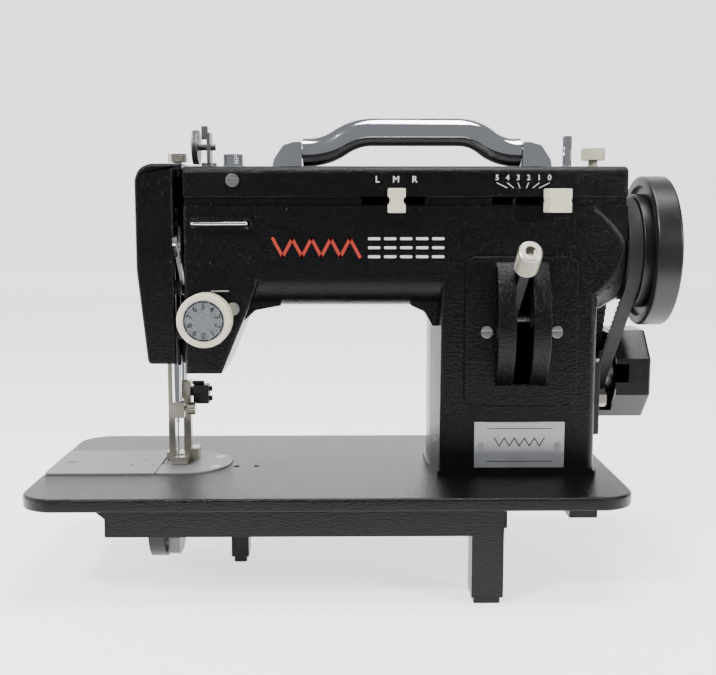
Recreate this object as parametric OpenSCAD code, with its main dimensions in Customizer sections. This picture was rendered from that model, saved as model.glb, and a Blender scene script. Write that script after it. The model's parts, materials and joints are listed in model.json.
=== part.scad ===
// Portable walking-foot zigzag sewing machine with a cast body, an outboard motor and a folding handle.
// All lengths are millimetres. The machine's own datum is the middle of the bed's top face:
// X runs right, Y runs back and Z runs up. place() moves it to the middle of the footprint.

/* [Bed] */
// Width of the bed, left to right
bed_w = 368; // [340:1:450]
// Depth of the bed, front to back
bed_d = 178; // [160:1:220]
// Thickness of the bed plate
bed_t = 8; // [6:0.5:10]
// Height of the bed's top above the table
bed_h = 66; // [60:1:80]
// Radius of the bed's corners
bed_r = 22; // [10:1:30]
// Depth of the apron under the bed plate
apron_h = 16; // [10:1:22]
// Thickness of the apron wall
apron_wall = 5; // [4:0.5:8]
// Thickness of the needle plate and the slide plate
plate_t = 2.4; // [2:0.1:3]
// How far the two plates stand above the bed
plate_proud = 1; // [0.4:0.1:1.2]
// Bore of the two cabinet hinge sockets in the rear edge
hinge_bore = 9.5; // [8:0.1:11]
// Core of the two threaded holes for a seam guide
guide_hole = 4.2; // [3:0.1:5]

/* [Arm] */
// Needle line from the bed's left edge
needle_in = 83; // [75:1:95]
// Needle line to the pillar, the working throat
throat = 171; // [142:1:200]
// Clear height under the arm
under_arm = 108; // [90:1:125]
// Width of the pillar
pillar_w = 100; // [95:1:125]
// Body front face from the shaft line
body_front = 33; // [31:0.5:40]
// Body rear face from the shaft line
body_rear = 30; // [29:0.5:38]
// Wall thickness of the casting
wall = 6; // [5:0.5:7]
// Main shaft above the arm's underside
shaft_up = 33.8; // [32:0.2:40]
// Casting's top edge above the main shaft
crown_up = 29.2; // [27:0.2:34]
// Height of the top cover
cover_h = 24.5; // [20:0.5:30]
// Sheet thickness of the top cover and the face plate
cover_t = 2.5; // [2:0.1:3]
// Height of the recessed band where the cover meets the casting
groove_h = 5; // [4:0.2:6]

/* [Drive] */
// Diameter of the main shaft
shaft_d = 12; // [10:0.5:14]
// Outer diameter of the handwheel
wheel_d = 97; // [85:1:115]
// Width of the handwheel's rim
wheel_w = 16; // [12:1:18]
// Width of the toothed belt
belt_w = 8.4; // [6:0.2:9]
// Thickness of the toothed belt
belt_t = 2.6; // [2:0.1:3.2]
// Radius of the handwheel pulley under the belt
pulley_r = 32; // [28:0.5:34]
// Radius of the motor pulley under the belt
motor_pulley_r = 10.8; // [9:0.2:12]
// Motor line behind the main shaft
motor_back = 63; // [62:1:72]
// Motor line below the main shaft
motor_down = 89; // [80:1:92]
// Diameter of the motor
motor_d = 60; // [50:1:62]
// Length of the motor behind the pillar
motor_len = 74; // [60:1:90]
// Tooth count of the zigzag pinion, half that of its gear
pinion_teeth = 14; // [14:2:16]
// Module of the zigzag gears
gear_module = 1.2; // [1:0.1:1.2]

/* [Needle and feet] */
// Diameter of the needle bar
needle_bar_d = 6.4; // [6:0.1:7.2]
// Diameter of the presser bar
presser_bar_d = 8; // [7:0.1:9]
// Presser bar behind the needle line
presser_back = 14; // [13:0.5:15]
// Hook shaft below the bed's top
hook_down = 36; // [35:0.5:37]
// Diameter of the hook shaft
hook_shaft_d = 10; // [8:0.5:11]
// Diameter of the bobbin
bobbin_d = 20.3; // [19:0.1:21]

/* [Controls] */
// Width of the stitch-length panel
panel_w = 71; // [66:1:80]
// Height of the stitch-length panel
panel_h = 94.5; // [92:0.5:98]
// Width of the slot for the stitch-length lever
slot_w = 10.4; // [9:0.2:12]
// Diameter of the thread tension dial
dial_d = 33.4; // [30:0.2:36]
// Diameter of the carrying handle
handle_d = 18.4; // [14:0.2:20]
// Distance between the handle's hinge pins
handle_span = 141; // [130:1:150]
// Width of the name badge
badge_w = 57.5; // [50:0.5:62]
// Height of the name badge
badge_h = 29.5; // [26:0.5:32]

/* [Fits] */
// Radial running clearance of shafts and bars
run_clear = 0.05; // [0.03:0.01:0.08]
// Gap between neighbouring moving pieces
gap = 0.4; // [0.3:0.05:0.6]

/* [Hidden] */
$fn = 48;
eps = 0.01;

// ---- derived places along X, from the bed's left edge to the handwheel ----
x_bed = -bed_w / 2;
x_needle = x_bed + needle_in;
x_pillar = x_needle + throat;
x_side = x_pillar + pillar_w;
boss_out = 17;
x_boss = x_side + boss_out;
x_head = x_needle + 10.5;
x_web = x_head + 5.5;
x_face0 = x_needle - 19.4;
x_face1 = x_needle + 4.7;
x_mid = x_pillar + pillar_w / 2;

// ---- derived heights ----
shaft_z = under_arm + shaft_up;
crown_z = shaft_z + crown_up;
cover_z = crown_z + cover_h;
head_z = under_arm - 42.6;
face_z0 = head_z + 6;
face_z1 = cover_z + 1.5;

// ---- drive train along X ----
belt_x = x_boss + 1.2;
flange_x = belt_x + belt_w + 2 * gap;
wheel_x = x_boss + 15;
wheel_x1 = wheel_x + wheel_w;
guard_x1 = x_boss + 37;
motor_y = motor_back;
motor_z = shaft_z - motor_down;
guard_r = motor_d / 2 + 1;
bracket_t = 4;
bracket_x = x_side + 0.6;
bracket_x1 = bracket_x + bracket_t;
motor_shaft_d = 8;

// ---- feet, plates and hook ----
presser_x = x_needle + 1;
presser_y = presser_back;
walk_x = x_needle - 5;
plate_y0 = -30;
plate_y1 = 35;
split_x = x_needle - 10.5;
plate_r = (plate_y1 - plate_y0) / 2;
plate_cx = x_needle + 3;
plate_cy = (plate_y0 + plate_y1) / 2;
plate_z = plate_proud - plate_t;
well_x0 = x_bed + 12;
well_x1 = x_needle + 23;
well_y0 = -24;
well_y1 = 28;
hook_r = 20.6;
race_x0 = x_needle - 17;
rod_throw = 12;
feed_disc_d = 13;
race_x1 = x_needle - 6.5;

// ---- controls ----
front_y = -body_front;
panel_cx = x_mid + 1.3;
panel_cz = under_arm - 15.7;
panel_t = 2;
panel_y = front_y - panel_t;
pivot_y = 8;
winder_x = x_side - 15.4;
winder_stop_x = x_side + 1.6;
winder_d = 6.2;
winder_stem_d = 5.6;
pivot_z = panel_cz + 4.7;
guide_r = 58;
guide_w = 33;
lever_w = 6.4;
lever_len = 72;
lever_rest = 34;
pin_d = 6;
slot_z0 = crown_z + 0.6;
slot_z1 = crown_z + groove_h + 0.4;
lever_z = (slot_z0 + slot_z1) / 2;
position_x = x_pillar - 28;
width_x = x_mid + 3;
width_rest = 19;
lever_back = 12;
dial_x = x_needle + 25;
dial_z = under_arm - 7;
post_d = 5;
wire_d = 1;
guide_bar_d = 2.2;
guide_bar_x = [x_head + 7, x_head + 40];
guide_bar_z = shaft_z + 18.2;
handle_z = cover_z + 10;
handle_x = x_needle + 84;
handle_cx = handle_x + handle_span / 2;
badge_cx = panel_cx;
badge_cz = 19.5;

// ---- footprint: the origin is the middle of the whole machine on the table ----
far_right = max(bed_w / 2, guard_x1);
far_rear = max(bed_d / 2, motor_y + guard_r);
datum_x = -(far_right + x_bed) / 2;
datum_y = -(far_rear - bed_d / 2) / 2;

// ---------------------------------------------------------------- helpers
module place() { translate([datum_x, datum_y, bed_h]) children(); }

module box(x0, x1, y0, y1, z0, z1) {
    translate([x0, y0, z0]) cube([x1 - x0, y1 - y0, z1 - z0]);
}

module rod_x(d, x0, x1, y, z) {
    translate([x0, y, z]) rotate([0, 90, 0]) cylinder(d = d, h = x1 - x0);
}

module rod_y(d, y0, y1, x, z) {
    translate([x, y0, z]) rotate([-90, 0, 0]) cylinder(d = d, h = y1 - y0);
}

module rod_z(d, z0, z1, x, y) { translate([x, y, z0]) cylinder(d = d, h = z1 - z0); }

// A drawing in X and Z, pushed along Y
module slab_y(y0, y1) { translate([0, y1, 0]) rotate([90, 0, 0]) linear_extrude(y1 - y0) children(); }

// A drawing in Y and Z, pushed along X
module slab_x(x0, x1) { translate([x0, 0, 0]) rotate([90, 0, 90]) linear_extrude(x1 - x0) children(); }

module round_rect(x0, x1, y0, y1, r) {
    translate([x0 + r, y0]) square([x1 - x0 - 2 * r, y1 - y0]);
    translate([x0, y0 + r]) square([x1 - x0, y1 - y0 - 2 * r]);
    for (x = [x0 + r, x1 - r], y = [y0 + r, y1 - r]) translate([x, y]) circle(r = r);
}

module round_slab(x0, x1, y0, y1, z0, z1, r) {
    translate([0, 0, z0]) linear_extrude(z1 - z0) round_rect(x0, x1, y0, y1, r);
}

// A slotted screw head that faces the front, with its shank behind
module front_screw(d, h, x, y, z) {
    difference() {
        rod_y(d, y - h, y, x, z);
        box(x - d / 2 - eps, x + d / 2 + eps, y - h - eps, y - h + h * 0.5, z - d * 0.09, z + d * 0.09);
    }
}

// ---------------------------------------------------------------- bed
apron_x0 = x_bed + 52;
apron_x1 = x_bed + 287;
apron_y = bed_d / 2 - 4;
apron_z = -bed_t - apron_h;
leg_front = [x_bed + 279, -apron_y + 9];
leg_rear = [x_bed + 303, bed_d / 2 - 27];
leg_left = [x_bed + 124, 0];
hinge_x = [x_bed + 70, x_bed + 250];
bolt_x = [x_pillar + 13, x_side - 13];
bolt_y = [front_y + 12, body_rear - 12];
bolt_d = 6;
bearing_x = [well_x1 + 5, x_mid - 32];
feed_y = well_y1 + 20;
feed_z = -bed_t - 9;

module leg(at, w, d, top) {
    translate([at[0], at[1], -bed_h]) {
        translate([0, 0, 4]) linear_extrude(bed_h - 4 + top) square([w, d], center = true);
        linear_extrude(4 + eps) square([w - 3, d - 3], center = true);
    }
}

module bearing(x, y, z, d, w) {
    difference() {
        union() {
            rod_x(d + 10, x - w / 2, x + w / 2, y, z);
            box(x - w / 2, x + w / 2, y - d / 2 - 4, y + d / 2 + 4, z, -bed_t + eps);
        }
        rod_x(d + 2 * run_clear, x - w, x + w, y, z);
    }
}

module bed() {
    place() color("#101011") difference() {
        union() {
            round_slab(x_bed, -x_bed, -bed_d / 2, bed_d / 2, -bed_t, 0, bed_r);
            difference() {
                box(apron_x0, apron_x1, -apron_y, apron_y, apron_z, -bed_t + eps);
                box(apron_x0 + apron_wall, apron_x1 - apron_wall, -apron_y + apron_wall,
                    apron_y - apron_wall, apron_z - eps, -bed_t + 2 * eps);
            }
            slab_y(-apron_y, -apron_y + apron_wall) polygon([[apron_x0 + eps, -bed_t + eps],
                [apron_x0 - 6, -bed_t + eps], [apron_x0 + eps, -bed_t - 5]]);
            leg(leg_front, 19, 18, -bed_t + eps);
            leg(leg_rear, 19, 18, -bed_t + eps);
            leg(leg_left, 11.5, 16, -bed_t + eps);
            for (x = hinge_x) rod_y(hinge_bore + 9, bed_d / 2 - 32, bed_d / 2 - 1, x, -bed_t - 5);
            for (x = bearing_x) bearing(x, 0, -hook_down, hook_shaft_d, 7);
            for (x = [x_needle - 12, x_mid - 26]) bearing(x, feed_y, feed_z, 8, 7);
            box(x_side - 24, x_side - 7, -72, -50, -bed_t - 9, -bed_t + eps);
        }
        box(x_bed - 1, plate_cx, plate_y0 - gap, plate_y1 + gap, -(plate_t - plate_proud), 1);
        translate([plate_cx, plate_cy, -(plate_t - plate_proud)]) cylinder(r = plate_r + gap, h = 3);
        box(well_x0, well_x1, well_y0, well_y1, -bed_t - 1, 1);
        box(x_pillar + 24, x_side - 24, -20, 16, -bed_t - 1, 1);
        for (x = hinge_x) rod_y(hinge_bore, bed_d / 2 - 24, bed_d / 2 + 1, x, -bed_t - 5);
        for (x = [x_needle + 39.5, x_needle + 52.7]) rod_z(guide_hole, -bed_t - 1, 1, x, -8.5);
        for (x = bolt_x, y = bolt_y) rod_z(bolt_d + 0.4, -bed_t - 1, 1, x, y);
        rod_x(hook_shaft_d + 1, leg_left[0] - 7, leg_left[0] + 7, 0, -hook_down);
        for (p = plate_screws) rod_z(plate_screw_d + 0.4, -bed_t - 1, 1, p[0], p[1]);
        // passages in the apron's right wall for the connecting rod and the feed shaft
        box(apron_x1 - apron_wall - 1, apron_x1 + 1, -rod_throw - 6, 9, apron_z - 1, -bed_t + 2 * eps);
        rod_x(feed_disc_d + 2, apron_x1 - apron_wall - 1, apron_x1 + 1, feed_y, feed_z);
    }
}

// The needle plate's two screws
plate_screw_d = 3;
plate_screws = [[x_needle + 26, -12], [x_needle + 26, 16]];

module needle_plate() {
    place() color("#a9abac") difference() {
        union() {
            box(split_x + gap / 2, plate_cx, plate_y0, plate_y1, plate_z + eps, plate_proud);
            translate([plate_cx, plate_cy, plate_z + eps]) cylinder(r = plate_r, h = plate_t - eps, $fn = 96);
        }
        box(plate_cx - plate_r - 1, split_x + gap / 2, plate_y0 - 1, plate_y1 + 1, plate_z - 1, plate_proud + 1);
        for (x = [x_needle - 9, x_needle + 6]) box(x - 1.3, x + 1.3, -6, 18, plate_z - 1, plate_proud + 1);
        box(x_needle - 5, x_needle + 5, -1.3, 1.3, plate_z - 1, plate_proud + 1);
        for (p = plate_screws) {
            rod_z(plate_screw_d + 0.4, plate_z - 1, plate_proud + 1, p[0], p[1]);
            translate([p[0], p[1], plate_proud - 1.2])
                cylinder(d1 = plate_screw_d + 0.4, d2 = plate_screw_d + 4, h = 1.2 + eps);
        }
    }
}

module slide_plate() {
    place() color("#a9abac") difference() {
        round_slab(x_bed + 1.5, split_x - gap / 2, plate_y0, plate_y1, plate_z + eps, plate_proud, 2);
        rod_y(24, -9, 3, x_bed + 12, plate_proud + 11.2);
    }
}

// ---------------------------------------------------------------- casting and covers
// The pillar's level section: flat front, rounded rear and a slightly bulging left side
module pillar_section(g) {
    polygon([[x_pillar + 1 - g, front_y - g], [x_side - 2.5 + g, front_y - g], [x_side + g, front_y + 4],
        [x_side + g, body_rear - 8], [x_side - 8, body_rear + g], [x_pillar + 5, body_rear + g],
        [x_pillar - 4 - g, body_rear - 10], [x_pillar - 4 - g, front_y + 25]]);
}

// The arm's upright section, rounded along its lower edges
module arm_section(inset, r) {
    y0 = front_y + inset;
    y1 = body_rear - inset;
    z0 = under_arm + inset;
    translate([y0, z0 + r]) square([y1 - y0, crown_z - z0 - r + (inset > 0 ? 1 : 0)]);
    translate([y0 + r, z0]) square([y1 - y0 - 2 * r, r + 1]);
    for (y = [y0 + r, y1 - r]) translate([y, z0 + r]) circle(r = r);
}

arm_round = 18;
lug_z0 = shaft_z + 16;
lug_z1 = cover_z - 5.5;
bush_d = shaft_d + 6;
gear_x = x_pillar + 15;
gear_w = 8;
gear_z = shaft_z + gear_module * pinion_teeth * 1.5 + 0.3;
cover_screw = [x_needle + 41.8, crown_z + 15.5];
nut_x = x_needle + 39.3;
take_up_y = -2;
take_up_z = shaft_z - 24;
lifter_x = x_head + 15;
lifter_z = head_z + 24;

module casting_solid() {
    linear_extrude(crown_z) pillar_section(0);
    linear_extrude(3) pillar_section(2);
    slab_x(x_head + 30, x_pillar + 12) arm_section(0, arm_round);
    slab_y(front_y, body_rear) polygon([[x_head, head_z], [x_head + 22.7, head_z],
        [x_head + 46.5, under_arm + 14], [x_head + 46.5, crown_z], [x_head, crown_z]]);
    slab_y(front_y + 9, body_rear - 9) polygon([[x_head + 34, under_arm - 12], [x_head + 44, under_arm - 3],
        [x_head + 60, under_arm + eps], [x_head + 60, under_arm + 8], [x_head + 34, under_arm + 8]]);
    slab_y(front_y + 9, body_rear - 6) polygon([[x_pillar - 18, under_arm + eps], [x_pillar - 9, under_arm - 4],
        [x_pillar - 4 + eps, under_arm - 13], [x_pillar + 4, under_arm - 13], [x_pillar + 4, under_arm + 8],
        [x_pillar - 18, under_arm + 8]]);
    intersection() {
        translate([x_side - 3, 0, shaft_z]) rotate([0, 90, 0]) cylinder(r1 = 43, r2 = 32, h = boss_out + 3);
        box(x_side - 4, x_boss, front_y, body_rear, 0, crown_z);
    }
    box(x_side - 9, x_boss, front_y + 1, body_rear - 1, shaft_z + 6, crown_z);
}

module casting_hollow() {
    translate([0, 0, -1]) linear_extrude(crown_z + 2) pillar_section(-wall);
    slab_x(x_web, x_side - wall) arm_section(wall, arm_round - wall);
    slab_y(front_y + wall, body_rear - wall) polygon([[x_web, head_z + wall], [x_head + 19, head_z + wall],
        [x_head + 40, under_arm + 14], [x_head + 40, crown_z + 1], [x_web, crown_z + 1]]);
}

module arm_casting() {
    place() color("#101011") difference() {
        union() {
            difference() {
                casting_solid();
                casting_hollow();
            }
            // lugs that hold the presser bar, its screw and the needle bar's frame
            box(x_needle - 7, x_head + eps, presser_y - 7.5, presser_y + 7.5, lug_z0, lug_z1);
            box(x_needle - 8, x_head + eps, 3.8, presser_y + 7.5, face_z0 + 1, face_z0 + 11);
            rod_y(6, -6, presser_y - 7, x_needle, lug_z0 + 6);
            rod_x(5, x_head - 5.4, x_head + eps, take_up_y, take_up_z);
            rod_y(6, body_rear - eps, body_rear + 9, lifter_x, lifter_z);
            // lugs for the cover screw, the cover stud and the lever pins
            box(cover_screw[0] - 5, cover_screw[0] + 5, front_y + 3.1 + cover_t, front_y + 10,
                crown_z - 12, cover_screw[1] + 5);
            box(nut_x - 5, nut_x + 5, -6, body_rear - wall + eps, crown_z - 11, crown_z - 5);
            for (x = [position_x, width_x])
                box(x - 6, x + 6, lever_back - 6, body_rear - wall + eps, crown_z - 9, slot_z0 - 0.3);
            box(gear_x + 13, gear_x + 19, -7, body_rear - wall + eps, gear_z - 8, gear_z + 8);
            for (x = bolt_x, y = bolt_y) rod_z(14, 0, 26, x, y);
        }
        rod_x(bush_d, x_head - 1, x_web + 1, 0, shaft_z);
        rod_x(bush_d, x_side - wall - 1, x_boss + 1, 0, shaft_z);
        rod_z(presser_bar_d + 2 * run_clear, 0, lug_z0 + 18, presser_x, presser_y);
        rod_z(10 + 2 * run_clear, lug_z0 + 17, lug_z1 + 1, presser_x, presser_y);
        box(walk_x - 2.4, walk_x + 2.4, 4.6, 8.4, face_z0, face_z0 + 12);
        rod_x(8 + 2 * run_clear, gear_x + 12, gear_x + 20, 0, gear_z);
        for (x = [position_x, width_x]) rod_z(5, crown_z - 10, crown_z + 9, x, lever_back);
        rod_z(5, crown_z - 12, crown_z, nut_x, 0);
        rod_y(4, front_y, front_y + 11, cover_screw[0], cover_screw[1]);
        rod_y(post_d + 2 * run_clear, front_y - 1, front_y + 6, dial_x, dial_z);
        rod_y(wire_d + 2 * run_clear, front_y - 1, front_y + 2, dial_x + 3, dial_z + 17);
        for (x = guide_bar_x) rod_y(guide_bar_d + 2 * run_clear, front_y - 1, front_y + 3, x, guide_bar_z);
        // clears the top cover beside the presser bar's lug
        box(x_head - 0.1, x_head + 1, presser_y - 9, presser_y + 9, crown_z + eps, lug_z1 + 1);
        box(panel_cx - 14, panel_cx + 14, front_y - 1, front_y + wall + 4, pivot_z - 44, pivot_z + 41);
        for (x = [-1, 1]) rod_y(4, front_y - 1, front_y + wall + 1, panel_cx + x * panel_screw, panel_cz);
        for (x = bolt_x, y = bolt_y) rod_z(bolt_d, -1, 20, x, y);
        for (p = motor_bolts) rod_x(bolt_d, x_side - wall - 1, x_side + 1, p[0], p[1]);
    }
}

module cover_section(inset, top) {
    y0 = front_y + 0.4 + inset;
    y1 = body_rear - 0.4 - inset;
    z1 = cover_z - inset;
    r = 5 - inset / 2;
    translate([y0, top]) square([y1 - y0, z1 - top - r]);
    translate([y0 + r, z1 - r - 1]) square([y1 - y0 - 2 * r, r + 1]);
    for (y = [y0 + r, y1 - r]) translate([y, z1 - r]) circle(r = r);
}

module top_cover() {
    place() color("#101011") difference() {
        union() {
            slab_x(x_head, x_boss) cover_section(0, crown_z + groove_h);
            box(x_head + 1, x_boss - 1, front_y + 1.9, body_rear - 1.9, crown_z + 0.2, crown_z + groove_h + 1);
        }
        slab_x(x_head + cover_t, x_boss - cover_t) cover_section(cover_t + 1, crown_z - 1);
        box(position_x - 21, position_x + 18, front_y - 1, front_y + 9, slot_z0, slot_z1);
        box(width_x - 21, width_x + 19, front_y - 1, front_y + 9, slot_z0, slot_z1);
        rod_y(4.4, front_y - 1, front_y + 8, cover_screw[0], cover_screw[1]);
        rod_z(5.4, cover_z - 6, cover_z + 1, nut_x, 0);
        rod_z(winder_stem_d + 2 * run_clear, cover_z - 6, cover_z + 1, winder_x, 0);
        rod_z(6 + 2 * run_clear, cover_z - 6, cover_z + 1, winder_stop_x, 0);
    }
}

module face_outline(t, right) {
    polygon([[x_face0 + 6 + t, face_z0 - (t > 0 ? 1 : 0)], [right, face_z0 - (t > 0 ? 1 : 0)], [right, face_z1 - t],
        [x_face0 + 9, face_z1 - t], [x_face0 + 3 + t * 0.6, face_z1 - 3 - t * 0.4], [x_face0 + t, face_z1 - 9],
        [x_face0 + t, face_z0 + 60]]);
}

module face_plate() {
    place() color("#101011") difference() {
        union() {
            slab_y(front_y + 2, body_rear - 2) face_outline(0, x_face1);
            box(x_face1 - eps, x_head - gap, front_y + 2, body_rear - 2, face_z1 - 4, face_z1);
        }
        slab_y(front_y + 2 + cover_t, body_rear - 2 - cover_t) face_outline(cover_t, x_face1 + 1);
        rod_z(12, face_z1 - 5, face_z1 + 1, presser_x, presser_y);
        rod_x(4.4, x_face0 - 1, x_face0 + 5, presser_y, lug_z1 - 20);
    }
}

// ---------------------------------------------------------------- fasteners
panel_screw = 22;
motor_bolts = [[-15, under_arm - 61.4], [10, under_arm - 74]];

module small_screws() {
    place() color("#c9c9c6") {
        for (x = [-1, 1]) front_screw(4, 1, badge_cx + x * (badge_w / 2 - 4), front_y - 0.8, badge_cz);
        for (p = plate_screws) difference() {
            union() {
                translate([p[0], p[1], plate_proud - 1.3])
                    cylinder(d1 = plate_screw_d, d2 = plate_screw_d + 3.6, h = 1.2);
                rod_z(plate_screw_d, 2 - bed_t, plate_proud - 1, p[0], p[1]);
            }
            box(p[0] - 4, p[0] + 4, p[1] - 0.4, p[1] + 0.4, plate_proud - 0.7, plate_proud + 1);
        }
    }
}

module slotted_screws() {
    place() color("#d2d2ce") {
        for (x = [-1, 1]) {
            front_screw(7.6, 2, panel_cx + x * panel_screw, panel_y, panel_cz);
            rod_y(3.9, panel_y - eps, front_y + wall, panel_cx + x * panel_screw, panel_cz);
        }
        front_screw(8.4, 2, cover_screw[0], front_y + 0.4, cover_screw[1]);
        rod_y(3.9, front_y + 0.4 - eps, front_y + 9, cover_screw[0], cover_screw[1]);
        difference() {
            rod_x(8, x_face0 - 2, x_face0, presser_y, lug_z1 - 20);
            box(x_face0 - 3, x_face0 - 1, presser_y - 5, presser_y + 5, lug_z1 - 20.7, lug_z1 - 19.3);
        }
        rod_x(3.9, x_face0 - eps, x_needle - 7, presser_y, lug_z1 - 20);
    }
}

module hex_bolts() {
    place() color("#b9b9b6") {
        for (x = bolt_x, y = bolt_y) {
            translate([x, y, -bed_t - 4]) cylinder(d = 11.5, h = 4, $fn = 6);
            rod_z(bolt_d - 0.1, -bed_t - eps, 16, x, y);
        }
        for (p = motor_bolts) {
            translate([bracket_x1, p[0], p[1]]) rotate([0, 90, 0]) cylinder(d = 11.5, h = 5.4, $fn = 6);
            rod_x(bolt_d - 0.1, x_side - wall, bracket_x1 + eps, p[0], p[1]);
        }
    }
}

module cover_nut() {
    place() color("#d8d8d6") {
        rod_z(15, cover_z, cover_z + 1.4, nut_x, 0);
        rod_z(13, cover_z + 1.4, cover_z + 8.5, nut_x, 0);
        rod_z(4.9, crown_z - 11, cover_z + 1, nut_x, 0);
    }
}

// ---------------------------------------------------------------- stitch length control
module length_panel() {
    place() color("#141415") difference() {
        union() {
            slab_y(panel_y, front_y) round_rect(panel_cx - panel_w / 2, panel_cx + panel_w / 2,
                panel_cz - panel_h / 2, panel_cz + panel_h / 2, 6);
            for (x = [-1, 1]) box(panel_cx + x * 11.5 - 1.5, panel_cx + x * 11.5 + 1.5, front_y - eps,
                pivot_y + 7, pivot_z - 7, pivot_z + 7);
        }
        box(panel_cx - slot_w / 2, panel_cx + slot_w / 2, panel_y - 1, front_y + 1, pivot_z - 38, pivot_z + 37);
        rod_x(pin_d, panel_cx - 14, panel_cx + 14, pivot_y, pivot_z);
        for (x = [-1, 1]) rod_y(4.2, panel_y - 1, front_y + 1, panel_cx + x * panel_screw, panel_cz);
    }
}

module lever_guide() {
    place() color("#141415") difference() {
        intersection() {
            translate([panel_cx - guide_w / 2, pivot_y, pivot_z]) rotate([0, 90, 0])
                cylinder(r = guide_r, h = guide_w, $fn = 96);
            box(panel_cx - guide_w, panel_cx + guide_w, -100, panel_y, pivot_z - 100, pivot_z + 100);
        }
        box(panel_cx - slot_w / 2, panel_cx + slot_w / 2, -100, panel_y + 1, pivot_z - 38, pivot_z + 60);
    }
}

module lever_pins() {
    place() color("#bdbdba") {
        rod_x(pin_d, panel_cx - 13.5, panel_cx + 13.5, pivot_y, pivot_z);
        for (x = [position_x, width_x]) rod_z(5, crown_z - 9, crown_z + 8, x, lever_back);
    }
}

module at_length_lever() {
    translate([panel_cx, pivot_y, pivot_z]) rotate([-lever_rest, 0, 0]) children();
}

module length_lever() {
    place() color("#3a3a3c") at_length_lever() difference() {
        union() {
            rod_x(14, -lever_w / 2, lever_w / 2, 0, 0);
            box(-lever_w / 2, lever_w / 2, -lever_len, 0, -3, 3);
        }
        rod_x(pin_d + 2 * run_clear, -lever_w, lever_w, 0, 0);
    }
}

module length_knob() {
    place() color("#cfc9bb") at_length_lever() difference() {
        rod_y(15.6, -lever_len - 12, -lever_len + 8, 0, 0);
        rod_y(7.4, -lever_len - 13, -lever_len - 8, 0, 0);
        box(-lever_w / 2 - 0.02, lever_w / 2 + 0.02, -lever_len - 0.02, -lever_len + 9, -3.02, 3.02);
    }
}

// ---------------------------------------------------------------- needle position and stitch width
module swing_lever(reach) {
    difference() {
        union() {
            rod_z(12, lever_z - 1.2, lever_z + 1.2, 0, 0);
            box(-2.5, 2.5, -reach, 0, lever_z - 1.2, lever_z + 1.2);
        }
        rod_z(5 + 2 * run_clear, lever_z - 2, lever_z + 2, 0, 0);
    }
}

module swing_knob(w, h, y0, y1, waist) {
    difference() {
        box(-w / 2, w / 2, y0, y1, lever_z - h / 2, lever_z + h / 2);
        for (x = [-1, 1]) rod_y(waist * 4, y0 - 1, y1 + 1, x * (w / 2 + waist), lever_z);
        box(-2.52, 2.52, y0 + 3, y1 + 1, lever_z - 1.22, lever_z + 1.22);
    }
}

module position_lever() {
    place() color("#8d8d8d") translate([position_x, lever_back, 0]) swing_lever(52);
}

module position_knob() {
    place() color("#e6dfc8") translate([position_x, lever_back, 0]) swing_knob(10.8, 15, -57, -48.6, 1.4);
}

module width_lever() {
    place() color("#8d8d8d") translate([width_x, lever_back, 0]) rotate([0, 0, width_rest]) swing_lever(56);
}

module width_knob() {
    place() color("#e6dfc8") translate([width_x, lever_back, 0]) rotate([0, 0, width_rest])
        swing_knob(15.6, 14.6, -60, -51.4, 0.6);
}

module name_badge() {
    place() color("#bfc0bf") difference() {
        box(badge_cx - badge_w / 2, badge_cx + badge_w / 2, front_y - 0.8, front_y,
            badge_cz - badge_h / 2, badge_cz + badge_h / 2);
        for (x = [-1, 1]) rod_y(2, front_y - 2, front_y + 1, badge_cx + x * (badge_w / 2 - 4), badge_cz);
    }
}

// ---------------------------------------------------------------- carrying handle
handle_rise = 12.8;
module bracket_side(dir) {
    slab_y(-11, 11) polygon([for (p = [[0, 0], [19, 0], [18, 5], [12, 14], [5, 16], [0, 16]])
        [dir * p[0], cover_z + p[1]]]);
}

module handle_brackets() {
    place() color("#dcdcdc") difference() {
        union() {
            translate([handle_x, 0, 0]) bracket_side(-1);
            translate([handle_x + handle_span, 0, 0]) bracket_side(1);
        }
        rod_x(8 + 2 * run_clear, handle_x - 14, handle_x + handle_span + 14, 0, handle_z);
    }
}

// A round bar bent through an arc in the upright plane
module bent_bar(cx, cz, r, a0, turn, d) {
    translate([cx, 0, cz]) rotate([90, 0, 0]) rotate(a0) rotate_extrude(angle = turn) translate([r, 0])
        circle(d = d);
}

// Half of the handle: a level stub, an S-bend up to the grip and half of the grip. Each bend is a
// hair thinner than the bar that it runs into, so that they meet in an edge.
module handle_half(end_x, dir, bend, reach) {
    r = handle_rise / 2 / (1 - cos(bend));
    stub = end_x + dir * 3;
    lap = 0.6;
    thinner = 0.1;
    top = stub + dir * 2 * r * sin(bend);
    rod_x(handle_d, min(end_x, stub), max(end_x, stub), 0, handle_z);
    bent_bar(stub, handle_z + r, r, dir > 0 ? -91 : -90 - bend - lap, bend + 1 + lap, handle_d - 2 * thinner);
    bent_bar(top, handle_z + handle_rise - r, r, dir > 0 ? 89 : 90 - bend - lap, bend + 1 + lap, handle_d - thinner);
    rod_x(handle_d, min(top, reach), max(top, reach), 0, handle_z + handle_rise);
}

module carry_handle() {
    place() color("#dcdcdc") {
        handle_half(handle_x + gap, 1, 34, handle_cx);
        handle_half(handle_x + handle_span - gap, -1, 38, handle_cx - eps);
        rod_x(8, handle_x - 13, handle_x + 2, 0, handle_z);
        rod_x(8, handle_x + handle_span - 2, handle_x + handle_span + 13, 0, handle_z);
    }
}

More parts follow.
